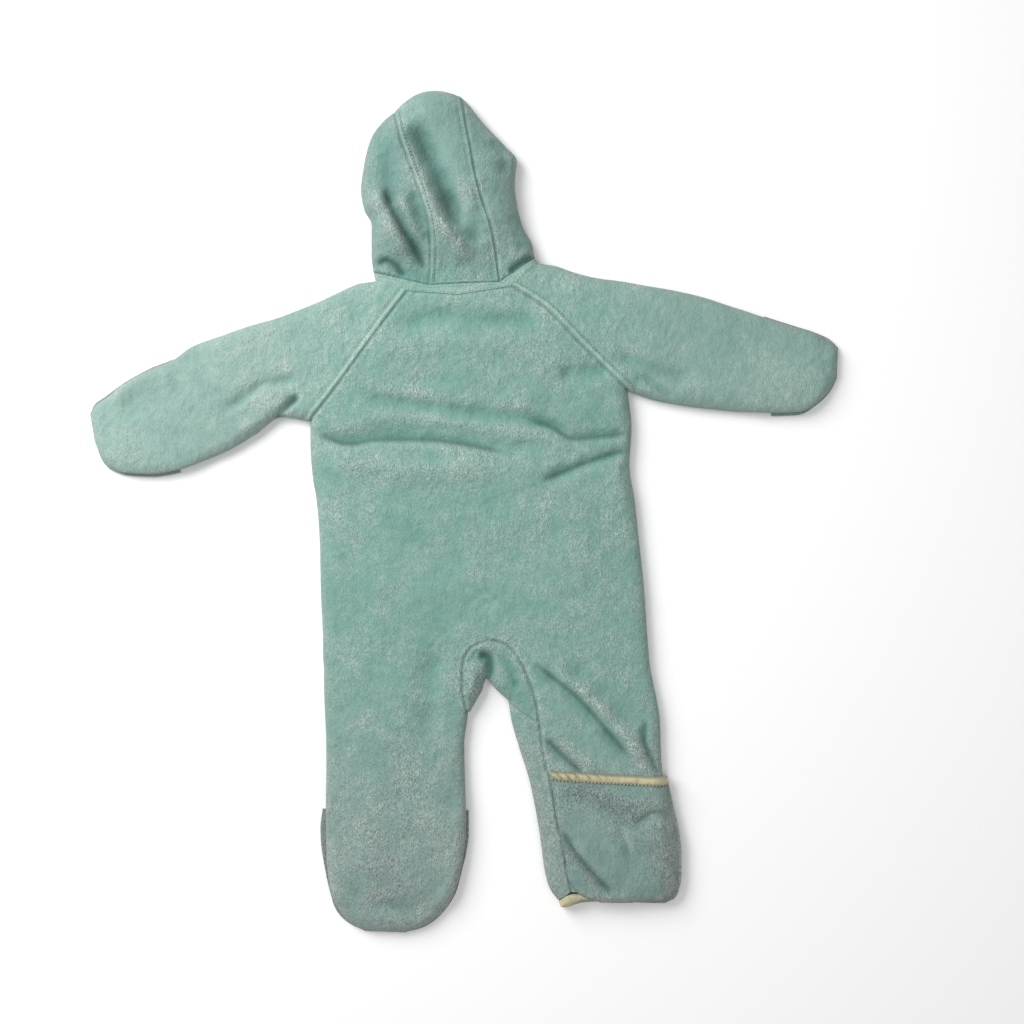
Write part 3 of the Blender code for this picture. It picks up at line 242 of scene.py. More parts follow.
NAP_AND_SHADE_STRIPS = (
    NapAndShadeStrip(0.45, 0.03, 10, ((79, -144), (115, -173), (150, -209), (178, -246))),
    NapAndShadeStrip(-0.5, -0.03, 9, ((64, -141), (78, -153), (106, -176), (138, -212), (158, -236))),
    NapAndShadeStrip(-0.4, 0.0, 12, ((105, -205), (125, -226), (140, -246))),
    NapAndShadeStrip(0.45, -0.02, 8, ((79, -214), (100, -230), (128, -250))),
    NapAndShadeStrip(0.4, 0.0, 10, ((152, -212), (168, -232), (182, -250))),
    NapAndShadeStrip(0.3, -0.02, 16, ((42, -192), (60, -260), (76, -345))),
    NapAndShadeStrip(0.35, 0.03, 9, ((-84, 300), (-68, 268), (-50, 232))),
    NapAndShadeStrip(0.4, 0.03, 8, ((-30, 288), (-10, 254), (4, 234))),
    NapAndShadeStrip(-0.4, -0.01, 22, ((-34, 378), (-18, 340), (-4, 300))),
    NapAndShadeStrip(-0.4, -0.02, 14, ((-74, 350), (-62, 318))),
    # These two strips only darken: painted shade in the hood's troughs.
    NapAndShadeStrip(0.0, -0.11, 8, ((-48, 362), (-33, 334), (-20, 304), (-10, 276), (-3, 256))),
    NapAndShadeStrip(0.0, -0.07, 6, ((-70, 300), (-58, 272), (-45, 246), (-37, 228))),
    NapAndShadeStrip(0.3, 0.02, 14, ((-216, 112), (-190, 96), (-160, 84))),
    NapAndShadeStrip(-0.4, 0.0, 24, ((-330, 90), (-280, 105), (-230, 120))),
    NapAndShadeStrip(0.25, -0.03, 30, ((-54, -190), (-62, -300), (-80, -380))),
    NapAndShadeStrip(0.1, -0.05, 26, ((-96, -320), (-70, -370), (-40, -350))),
    NapAndShadeStrip(0.0, -0.07, 16, ((-84, 300), (-82, 330), (-66, 362))),
    NapAndShadeStrip(0.0, 0.05, 26, ((250, 140), (290, 135), (330, 130))),
    NapAndShadeStrip(0.25, 0.02, 12, ((-120, 48), (-60, 36), (0, 34))),
    NapAndShadeStrip(-0.35, 0.0, 20, ((-60, -60), (20, -90), (90, -40))),
    NapAndShadeStrip(0.4, -0.05, 14, ((2, -150), (8, -180))),
)
POUCH_NAP_AND_SHADE_STRIPS = (
    NapAndShadeStrip(0.7, -0.14, 10, ((86, -262), (114, -265), (144, -276), (168, -294))),
    NapAndShadeStrip(0.4, -0.04, 12, ((180, -306), (190, -335), (192, -358))),
    NapAndShadeStrip(-0.6, 0.02, 17, ((100, -286), (128, -316), (150, -356))),
    NapAndShadeStrip(0.6, -0.02, 6, ((94, -312), (114, -337), (134, -360))),
    NapAndShadeStrip(-0.3, -0.05, 7, ((97, -336), (110, -356))),
    # This strip's darkening is painted shade on the pouch.
    NapAndShadeStrip(-0.2, -0.09, 9, ((169, -306), (173, -350))),
    NapAndShadeStrip(0.4, -0.05, 5, ((110, -366), (150, -369), (190, -368))),
)


def monotone(points: np.ndarray, places: np.ndarray) -> np.ndarray:
    """A smooth curve through points at places 0, 1, 2 ... that never overshoots them.

    Args:
        points: the points that it goes through.
        places: where to read it.

    Returns:
        One point for each place.
    """
    steps = np.diff(points, axis=0)
    slopes = np.zeros_like(points)
    slopes[0], slopes[-1] = steps[0], steps[-1]
    before, after = steps[:-1], steps[1:]
    same = before * after > 0
    total = np.where(same, before + after, 1.0)
    slopes[1:-1] = np.where(same, 2 * before * after / total, 0.0)
    index = np.clip(places.astype(int), 0, len(steps) - 1)
    u = (places - index)[:, None]
    rise = 3 * u**2 - 2 * u**3
    return (
        points[index] * (1 - rise)
        + slopes[index] * (u**3 - 2 * u**2 + u)
        + points[index + 1] * rise
        + slopes[index + 1] * (u**3 - u**2)
    )


def rail(points: Sequence, corners: Sequence[int] = ()) -> Curve:
    """An edge through these points, as a function of the place, sharp at the corners.

    Args:
        points: the points, one for each place.
        corners: places where the edge turns sharply.

    Returns:
        The edge.
    """
    known = np.array(points, float)
    breaks = [0, *corners, len(known) - 1]

    def at(places: Iterable[float]) -> np.ndarray:
        """Points of the edge at these places.

        Args:
            places: places along the edge.

        Returns:
            Their x and y, in mm.
        """
        places = np.clip(np.asarray(places, float), 0, len(known) - 1)
        found = np.empty((len(places), 2))
        for first, last in zip(breaks, breaks[1:]):
            here = (places >= first) & (places <= last)
            found[here] = monotone(known[first : last + 1], places[here] - first)
        return found

    return at


def polyline(stops: Sequence) -> Curve:
    """A straight-sided edge through stops of (place, x, y)."""
    place, x, y = np.array(stops, float).T
    return lambda places: np.stack([np.interp(places, place, x), np.interp(places, place, y)], axis=-1)


def joined(first: Curve, second: Curve, change: float) -> Curve:
    """The first edge up to the place `change`, and the second after it.

    Args:
        first: the edge up to the change.
        second: the edge after it.
        change: the place of the change.

    Returns:
        The edge.
    """

    def at(places: Iterable[float]) -> np.ndarray:
        """Points of the edge at these places."""
        places = np.asarray(places, float)
        return np.where(places[:, None] <= change, first(places), second(places))

    return at


def edge_a(rows: Sequence, corners: Sequence[int] = ()) -> Curve:
    """The edge through the rows' first points."""
    return rail([row[:2] for row in rows], corners)


def edge_b(rows: Sequence, corners: Sequence[int] = ()) -> Curve:
    """The edge through the rows' last points."""
    return rail([row[2:] for row in rows], corners)


def stations(curves: Sequence[Curve], start: float, end: float, stops: Iterable[float] = ()) -> np.ndarray:
    """Places about FINE mm apart on the longest of the curves, with one at each stop.

    Args:
        curves: the edges.
        start: the first place.
        end: the last place.
        stops: places that have to be among them.

    Returns:
        The places, in order.
    """
    fine = np.linspace(start, end, 60 * int(math.ceil(end - start)) + 1)
    steps = np.max([np.hypot(*np.diff(curve(fine), axis=0).T) for curve in curves], axis=0)
    length = np.concatenate([[0], np.cumsum(steps)])
    marks = sorted({start, end, *(stop for stop in stops if start < stop < end)})
    places: list[float] = []
    for first, last in zip(marks, marks[1:]):
        low, high = np.interp([first, last], fine, length)
        count = max(1, round((high - low) / FINE))
        found = np.interp(np.linspace(low, high, count + 1), length, fine)
        found[0] = first
        places.extend(found[:-1])
    return np.array([*places, end])


SIDE_LEFT = edge_a(BACK_LEFT, (UNDERARM,))
CENTRE_LEFT = edge_b(BACK_LEFT, (CROTCH,))
INSEAM_RIGHT = edge_a(BACK_RIGHT, (CROTCH,))
SIDE_RIGHT = edge_b(BACK_RIGHT, (UNDERARM,))
INNER_EDGE = rail(INNER_RIGHT)
FREE_EDGE = rail(GUSSET_FREE, (GUSSET_OUTLINE,))
ARM_LEFT, UNDER_LEFT = edge_a(SLEEVE_LEFT), edge_b(SLEEVE_LEFT, (UNDERARM,))
ARM_RIGHT, UNDER_RIGHT = edge_a(SLEEVE_RIGHT), edge_b(SLEEVE_RIGHT, (UNDERARM,))
HOOD_EDGE_LEFT, HOOD_SEAM_LEFT = edge_a(HOOD_LEFT), edge_b(HOOD_LEFT)
HOOD_EDGE_RIGHT, HOOD_SEAM_RIGHT = edge_a(HOOD_RIGHT), edge_b(HOOD_RIGHT)


def smooth_step(x: np.ndarray) -> np.ndarray:
    """Rises smoothly from 0 at 0 to 1 at 1."""
    x = np.clip(x, 0, 1)
    return x * x * (3 - 2 * x)


POINTS_PER_ROW = 40


def run_of(curve: Curve, start: float, end: float) -> np.ndarray:
    """A run of points about 1 mm apart along a curve, between two of its places."""
    count = int(abs(end - start) * POINTS_PER_ROW) + 2
    return curve(np.linspace(start, end, count))


def outline() -> np.ndarray:
    """The suit's outline as a run of points, from the right leg's opening round to its other side.

    Returns:
        The run's x and y, in mm.
    """
    share = np.linspace(0, 1, 80)[:, None]
    start, end = HOOD_SEAM_LEFT([HOOD_END])[0], HOOD_SEAM_RIGHT([HOOD_END])[0]
    across = np.array([start[1] - end[1], end[0] - start[0]]) / np.hypot(*(end - start))
    crown = start + share * (end - start) + 4 * CROWN_BOW[-1] * share * (1 - share) * across
    return np.concatenate([
        run_of(INNER_EDGE, INNER_END, 0),
        run_of(FREE_EDGE, GUSSET_OUTLINE, 0),
        run_of(CENTRE_LEFT, LEFT_TIP, LEFT_END),
        run_of(SIDE_LEFT, LEFT_END, UNDERARM),
        run_of(UNDER_LEFT, UNDERARM, len(SLEEVE_LEFT) - 1),
        run_of(ARM_LEFT, len(SLEEVE_LEFT) - 1, 0),
        run_of(HOOD_EDGE_LEFT, 0, HOOD_END),
        crown,
        run_of(HOOD_EDGE_RIGHT, HOOD_END, 0),
        run_of(ARM_RIGHT, 0, len(SLEEVE_RIGHT) - 1),
        run_of(UNDER_RIGHT, len(SLEEVE_RIGHT) - 1, UNDERARM),
        run_of(SIDE_RIGHT, UNDERARM, RIGHT_END),
    ])


def densify(run: np.ndarray, closed: bool = False) -> np.ndarray:
    """The same run with points at most 1 mm apart.

    Args:
        run: the run's points.
        closed: whether its last point joins its first.

    Returns:
        The longer run.
    """
    if closed:
        run = np.concatenate([run, run[:1]])
    length = np.concatenate([[0], np.cumsum(np.hypot(*np.diff(run, axis=0).T))])
    marks = np.linspace(0, length[-1], int(length[-1]) + 2)
    return np.stack([np.interp(marks, length, run[:, axis]) for axis in (0, 1)], axis=-1)


def near(points: np.ndarray, run: np.ndarray) -> tuple[np.ndarray, np.ndarray, np.ndarray]:
    """Where each point lies by a run of straight segments.

    Args:
        points: places in the plane.
        run: the run's points.

    Returns:
        The distance to the run, which side of it the point is on (1 is left), and the distance along it.
    """
    starts, steps = run[:-1], np.diff(run, axis=0)
    length2 = np.maximum((steps**2).sum(axis=1), 1e-12)
    before = np.concatenate([[0], np.cumsum(np.sqrt(length2))])
    away, side, along = (np.empty(len(points)) for _ in range(3))
    for first in range(0, len(points), 4000):
        part = slice(first, first + 4000)
        gap = points[part, None, :] - starts
        share = np.clip((gap * steps).sum(axis=2) / length2, 0, 1)
        rest = gap - share[..., None] * steps
        square = (rest**2).sum(axis=2)
        best = square.argmin(axis=1)
        row = np.arange(len(best))
        away[part] = np.sqrt(square[row, best])
        turn = steps[best, 0] * gap[row, best, 1] - steps[best, 1] * gap[row, best, 0]
        side[part] = np.where(turn >= 0, 1, -1)
        along[part] = before[best] + share[row, best] * np.sqrt(length2[best])
    return away, side, along


class Raster:
    """A quantity known on a 1 mm grid over the table and read anywhere between its points."""

    # The grid's first corner, in mm, and how many points it has along Y and X.
    LOW = np.array((-375.0, -413.0))
    ROWS, COLUMNS = 826, 752

    def __init__(self, values: np.ndarray) -> None:
        """Keeps one value for each grid point."""
        self.values = values.reshape(self.ROWS, self.COLUMNS)

    @classmethod
    def places(cls) -> np.ndarray:
        """The grid's points, row by row."""
        y, x = np.mgrid[0 : cls.ROWS, 0 : cls.COLUMNS]
        return np.stack([x.ravel(), y.ravel()], axis=-1) + cls.LOW

    def at(self, points: np.ndarray) -> np.ndarray:
        """Values at these points.

        Args:
            points: their x and y, in mm.

        Returns:
            One value for each point.
        """
        place = points - self.LOW
        column = np.clip(place[:, 0], 0, self.COLUMNS - 1.001)
        row = np.clip(place[:, 1], 0, self.ROWS - 1.001)
        i, j = row.astype(int), column.astype(int)
        u, v = row - i, column - j
        grid = self.values
        low = grid[i, j] * (1 - v) + grid[i, j + 1] * v
        high = grid[i + 1, j] * (1 - v) + grid[i + 1, j + 1] * v
        return low * (1 - u) + high * u


def blurred(values: np.ndarray, radius: int, times: int = 2) -> np.ndarray:
    """The grid of values averaged over squares of this radius.

    Args:
        values: the grid.
        radius: half the square's side, in grid points.
        times: how often the averaging is done.

    Returns:
        The averaged grid.
    """
    for _ in range(times):
        for axis in (0, 1):
            pad = [(radius + 1, radius) if a == axis else (0, 0) for a in (0, 1)]
            total = np.cumsum(np.pad(values, pad, mode="edge"), axis=axis)
            size = values.shape[axis]
            width = 2 * radius + 1
            high = np.take(total, np.arange(width, width + size), axis=axis)
            values = (high - np.take(total, np.arange(size), axis=axis)) / width
    return values


def lumps(spacing: int, seed: int) -> np.ndarray:
    """Smooth random lumps about `spacing` mm across, on the raster, with a spread of 1.

    Args:
        spacing: the lumps' size in mm.
        seed: seed of the random draws.

    Returns:
        One value for each point of the raster.
    """
    chance = np.random.default_rng(seed)
    rough = chance.normal(size=(Raster.ROWS // spacing + 3, Raster.COLUMNS // spacing + 3))
    wide = rough.repeat(spacing, axis=0).repeat(spacing, axis=1)
    soft = blurred(wide[: Raster.ROWS, : Raster.COLUMNS], max(1, spacing // 2), 3)
    return (soft / soft.std()).ravel()


def edge_distance(run: np.ndarray) -> np.ndarray:
    """Distance of each raster point to a run, through its nearest point.

    Args:
        run: the run's points.

    Returns:
        Distances in mm.
    """
    dense = densify(run)
    tree = KDTree(len(dense))
    for index, (x, y) in enumerate(dense):
        tree.insert((x, y, 0.0), index)
    tree.balance()
    places = Raster.places()
    find = tree.find
    nearest = np.array([find((x, y, 0.0))[1] for x, y in places.tolist()])
    best = np.full(len(places), np.inf)
    for offset in (-1, 0):
        start = np.clip(nearest + offset, 0, len(dense) - 2)
        step = dense[start + 1] - dense[start]
        gap = places - dense[start]
        share = np.clip((gap * step).sum(axis=1) / np.maximum((step**2).sum(axis=1), 1e-9), 0, 1)
        best = np.minimum(best, np.hypot(*(gap - share[:, None] * step).T))
    return best


def inside(run: np.ndarray) -> np.ndarray:
    """Whether each raster point lies inside a closed run.

    Args:
        run: the closed run's points.

    Returns:
        True for each point inside.
    """
    ends = np.roll(run, -1, axis=0)
    found = np.zeros((Raster.ROWS, Raster.COLUMNS), bool)
    columns = Raster.LOW[0] + np.arange(Raster.COLUMNS)
    for row in range(Raster.ROWS):
        y = Raster.LOW[1] + row + 1e-4
        spans = (run[:, 1] > y) != (ends[:, 1] > y)
        p, q = run[spans], ends[spans]
        crossings = p[:, 0] + (y - p[:, 1]) * (q[:, 0] - p[:, 0]) / (q[:, 1] - p[:, 1])
        found[row] = (crossings[None, :] > columns[:, None]).sum(axis=1) % 2 == 1
    return found.ravel()


@dataclass(frozen=True)
class Pouch:
    """A mitt's or foot pouch's layer under the suit, from its edge towards its toe."""

    x: float
    y: float
    dx: float
    dy: float
    hem: float
    half_width: float

    def past_edge(self, points: np.ndarray) -> np.ndarray:
        """Distance of each point past the edge towards the toe, and far short of it beside the pouch.

        Args:
            points: their x and y, in mm.

        Returns:
            Distances in mm.
        """
        gap = points - np.array([self.x, self.y])
        forward = gap @ np.array([self.dx, self.dy])
        sideways = np.abs(gap @ np.array([-self.dy, self.dx]))
        return np.where(sideways < self.half_width, forward, -1e3)


# How far a crease fades out at its ends, as a share of its length.
END_FADE = 0.25
# Half the width over which a lapped crease rises, and how far its shade reaches, in mm.
LAP_EDGE, SHADE_REACH = 1.4, 4.0


def beside(points: Sequence, reach: float, places: np.ndarray) -> tuple[np.ndarray, ...]:
    """Where raster points lie by a smooth run.

    Args:
        points: the run's points.
        reach: how far from the run to look.
        places: the raster's points.

    Returns:
        Which points are in reach, and for those the distance, the side, the length along it and the fade
        at its ends.
    """
    known = np.array(points, float)
    run = rail(known)(np.linspace(0, len(known) - 1, 10 * len(known)))
    box = (places > run.min(axis=0) - reach).all(axis=1) & (places < run.max(axis=0) + reach).all(axis=1)
    away, side, along = near(places[box], run)
    length = np.hypot(*np.diff(run, axis=0).T).sum()
    fade = smooth_step(np.minimum(along, length - along) / (END_FADE * length) + 0.2)
    return box, away, side, along, fade


def relief_of(creases: Sequence[Crease], places: np.ndarray) -> tuple[np.ndarray, np.ndarray]:
    """Height that creases add over the table, with their ends faded out.

    Args:
        creases: the creases.
        places: the raster's points.

    Returns:
        The height at each point, and how deep it lies in the shade of a lapped crease.
    """
    total, shaded = np.zeros(len(places)), np.zeros(len(places))
    for crease in creases:
        box, away, side, along, fade = beside(crease.points, 4 * crease.width, places)
        # A crease is never even, so its depth wanders along it in two rhythms.
        wander = 1 + 0.1 * np.sin(along / 9.0 + crease.width) + 0.07 * np.sin(along / 4.1 + crease.height)
        shape = crease.height * np.exp(-((away / crease.width) ** 2))
        past = away * side * np.sign(crease.lap or 1.0)
        falling = np.exp(-np.clip(past, 0, None) / crease.width)
        lap = abs(crease.lap) * smooth_step((past + LAP_EDGE) / (2 * LAP_EDGE)) * falling
        total[box] += (shape + lap) * fade * wander
        if crease.lap:
            signed = np.sign(past) * away + 0.4 * (wander - 1)
            shade = (1 - smooth_step(np.abs(signed - 0.6) / SHADE_REACH)) * smooth_step(fade * 1.3 - 0.1)
            shaded[box] = np.maximum(shaded[box], shade)
    return total, shaded


def nap_and_shade_of(strips: Sequence[NapAndShadeStrip], places: np.ndarray) -> tuple["Raster", "Raster"]:
    """How open and how pale the pile is made by strips where it lies another way, and how dark by strips of
    painted shade, over the raster.

    Args:
        strips: the strips.
        places: the raster's points.

    Returns:
        How open and how pale, as two rasters.
    """
    opened, paler = np.zeros(len(places)), np.zeros(len(places))
    for strip in strips:
        box, away, _, _, fade = beside(strip.points, 3 * strip.width, places)
        share = np.exp(-((away / strip.width) ** 2)) * fade
        opened[box] += strip.open * share
        paler[box] += strip.tone * share
    return Raster(opened), Raster(paler)


@dataclass
class LaidSuit:
    """Heights of the laid-out suit over the table, in mm."""

    edge_height: float = 7.0
    edge_radius: float = 7.0
    leg_crown: float = 18.0
    body_rise: float = 4.5
    body_centre: tuple[float, float] = (5.0, 90.0)
    body_reach: tuple[float, float] = (120.0, 170.0)
    hood_rise: float = 19.0
    hood_start: float = 222.0
    hood_ramp: float = 62.0
    arm_fall: float = 3.5
    arm_start: float = 170.0
    arm_ramp: float = 150.0
    shoulder_share: float = 0.72
    slow_rise: float = 45.0
    zip_lift: float = 2.2
    zip_flat: float = 13.0
    zip_ramp: float = 24.0
    pouches: tuple[Pouch, ...] = (
        Pouch(-275.5, 91.5, -0.998, -0.068, 48.0, 80.0),
        Pouch(288.5, 139.0, 0.997, 0.078, 42.0, 80.0),
        Pouch(-66.0, -284.0, 0.0, -1.0, 78.0, 90.0),
    )
    lift_start: float = -32.0
    lift_end: float = -14.0
    hem_ramp: float = 16.0
    pouch_share: float = 0.7
    pouch_rim: float = 3.6
    leg_allowance: float = 2.5
    leg_clearance: float = 0.4
    depth: Raster = field(init=False)
    side_depth: Raster = field(init=False)
    relief: Raster = field(init=False)
    pouch_relief: Raster = field(init=False)
    nap: Raster = field(init=False)
    laps: Raster = field(init=False)
    pouch_nap: Raster = field(init=False)
    pouch_laps: Raster = field(init=False)
    fuzz: Raster = field(init=False)
    brush: tuple[Raster, Raster] = field(init=False)
    pouch_nap_and_shade: tuple[Raster, Raster] = field(init=False)

    def __post_init__(self) -> None:
        """Works out the distance to the outline and the creases' relief over the table."""
        places = Raster.places()
        sides = outline()
        whole = np.concatenate([sides, HEM_RIGHT])
        within = inside(whole)
        self.depth = Raster(edge_distance(densify(whole, closed=True)) * np.where(within, 1, -1))
        self.side_depth = Raster(edge_distance(sides))
        self.relief, self.nap, self.laps = self.surface(CREASES, places, 5)
        self.pouch_relief, self.pouch_nap, self.pouch_laps = self.surface(POUCH_CREASES, places, 8)
        self.fuzz = Raster(lumps(2, 12))
        self.brush, self.pouch_nap_and_shade = nap_and_shade_of(NAP_AND_SHADE_STRIPS, places), nap_and_shade_of(POUCH_NAP_AND_SHADE_STRIPS, places)

    @staticmethod
    def surface(creases: Sequence[Crease], places: np.ndarray, seed: int) -> tuple[Raster, Raster, Raster]:
        """Relief of worn cloth.

        Args:
            creases: its creases.
            places: the raster's points.
            seed: start of the random lumps.

        Returns:
            The relief, how far it stands above its surroundings, and the shade of lapped creases.
        """
        relief, laps = relief_of(creases, places)
        relief += 0.6 * lumps(46, seed) + 0.38 * lumps(19, seed + 1) + 0.14 * lumps(8, seed + 2)
        raster = Raster(relief)
        return raster, Raster(raster.values - blurred(raster.values, 8)), Raster(laps)

    def lift_by_pouches(self, points: np.ndarray) -> np.ndarray:
        """How far the layers of mitts and foot pouches raise what lies on them.

        Args:
            points: their x and y, in mm.

        Returns:
            Heights in mm.
        """
        span = self.lift_end - self.lift_start
        return np.maximum.reduce([
            LAYER * smooth_step((pouch.past_edge(points) - self.lift_start) / span) for pouch in self.pouches
        ])

    def lift(self, points: np.ndarray) -> np.ndarray:
        """How far the layer next to the table is raised, by the pouches and along the zip.

        Args:
            points: their x and y, in mm.

        Returns:
            Heights in mm.
        """
        beside = smooth_step(1 - (np.abs(points[:, 0] - ZIP_X) - self.zip_flat) / self.zip_ramp)
        within = smooth_step((points[:, 1] - ZIP_FOOT + self.zip_ramp) / self.zip_ramp)
        within = within * smooth_step((FRONT_NECK_HIGH + 2 * self.zip_ramp - points[:, 1]) / self.zip_ramp)
        return np.maximum(self.lift_by_pouches(points), self.zip_lift * beside * within)

    def seam_height(self, points: np.ndarray) -> np.ndarray:
        """Height of the side seams and folded edges, lower where the back is sewn straight to a pouch.

        Args:
            points: their x and y, in mm.

        Returns:
            Heights in mm.
        """
        beyond = np.maximum.reduce([
            smooth_step((pouch.past_edge(points) - pouch.hem) / self.hem_ramp) for pouch in self.pouches
        ])
        height = self.edge_height + self.pouch_share * self.lift_by_pouches(points)
        return height * (1 - beyond) + (WALL + GAP / 2) * beyond

    def crown(self, points: np.ndarray) -> np.ndarray:
        """Height of the suit far from its edges.

        Args:
            points: their x and y, in mm.

        Returns:
            Heights in mm.
        """
        x, y = points.T
        centre, reach = self.body_centre, self.body_reach
        body = ((x - centre[0]) / reach[0]) ** 2 + ((y - centre[1]) / reach[1]) ** 2
        return (
            self.leg_crown
            + self.body_rise * np.exp(-body)
            + self.hood_rise * smooth_step((y - self.hood_start) / self.hood_ramp) * (np.abs(x) < 105)
            - self.arm_fall * smooth_step((np.abs(x) - self.arm_start) / self.arm_ramp)
        )

    def shoulder(self, depth: np.ndarray, radius: np.ndarray) -> np.ndarray:
        """Share of the full height at this depth inside an edge: a round shoulder, then a slow rise.

        Args:
            depth: distance inside the edge, in mm.
            radius: radius of the round shoulder, in mm.

        Returns:
            Shares from 0 to 1.
        """
        edge = 1 - np.clip(depth / radius, 0, 1)
        slow = 1 - np.exp(-np.clip(depth, 0, None) / self.slow_rise)
        return self.shoulder_share * np.sqrt(1 - edge**2) + (1 - self.shoulder_share) * slow

    def upper(self, points: np.ndarray) -> np.ndarray:
        """Height of the outer surface of the layer that faces up.

        Args:
            points: their x and y, in mm.

        Returns:
            Heights in mm.
        """
        depth = self.depth.at(points)
        seam, top = self.seam_height(points), self.crown(points)
        body = seam + (top - seam) * self.shoulder(depth, 0.95 * (top - seam) + 2)
        return body + self.relief.at(points) * smooth_step(depth / 12)

    def lower(self, points: np.ndarray) -> np.ndarray:
        """Height of the outer surface of the layer next to the table: flat, and rounded up at the edges.

        Args:
            points: their x and y, in mm.

        Returns:
            Heights in mm.
        """
        edge = 1 - np.clip(self.side_depth.at(points) / self.edge_radius, 0, 1)
        base = self.lift(points)
        return base + (self.seam_height(points) - base) * (1 - np.sqrt(1 - edge**2))

    def over(self, points: np.ndarray) -> np.ndarray:
        """Height of the pouch folded up over the back of the right leg, down to its own outer edges.

        Args:
            points: their x and y, in mm.

        Returns:
            Heights in mm.
        """
        rim = np.concatenate([[(192, -246)], edge_b(POUCH_RIGHT)(np.linspace(0, 7, 35)), [(128, -368.5)]])
        inner = INNER_EDGE(np.linspace(0, 7, 35))
        depth = np.minimum(near(points, rim)[0], near(points, inner)[0])
        top = self.crown(points) + LAYER
        own = self.pouch_rim + (top - self.pouch_rim) * self.shoulder(depth, np.float64(14.0))
        leg = np.maximum(self.upper(points), self.upper(points - np.array([self.leg_allowance, 0])))
        leg = leg - self.relief.at(points) * 0.6
        resting = np.maximum(own, leg + LAYER + self.leg_clearance)
        return resting + self.pouch_relief.at(points) * smooth_step(depth / 9)

    def height(self, side: Side, points: np.ndarray) -> np.ndarray:
        """Height of one of the suit's surfaces at these points.

        Args:
            side: the surface.
            points: their x and y, in mm.

        Returns:
            Heights in mm.
        """
        if side is Side.TABLE:
            return np.zeros(len(points))
        return {Side.UPPER: self.upper, Side.LOWER: self.lower, Side.OVER: self.over}[side](points)


FACING = {Side.UPPER: 1, Side.LOWER: -1, Side.TABLE: -1, Side.OVER: 1}
ROLL = {
    Side.UPPER: (0, 0.45, 1.1, 2.0, 3.2, 4.8, 6.8, 9.0),
    Side.LOWER: (0, 0.6, 1.6, 3.2, 5.2, 7.5),
    Side.OVER: (0, 0.6, 1.5, 2.8, 4.5, 6.5, 9.0),
}
BESIDE_SEAM = (0, 0.8, 1.6, 2.6, 4.0, 5.2, 6.2, 7.4)
ON_OUTLINE = ("fold", "open")
Kind = str | tuple[str, float, str]


def kinds(kind: Kind, places: np.ndarray) -> np.ndarray:
    """The kind of an edge at each place, from one kind or from (kind, last place, kind).

    Args:
        kind: the kind or kinds.
        places: places along the edge.

    Returns:
        One kind for each place.
    """
    if isinstance(kind, str):
        return np.array([kind] * len(places))
    before, change, after = kind
    return np.where(places <= change + 1e-9, before, after)


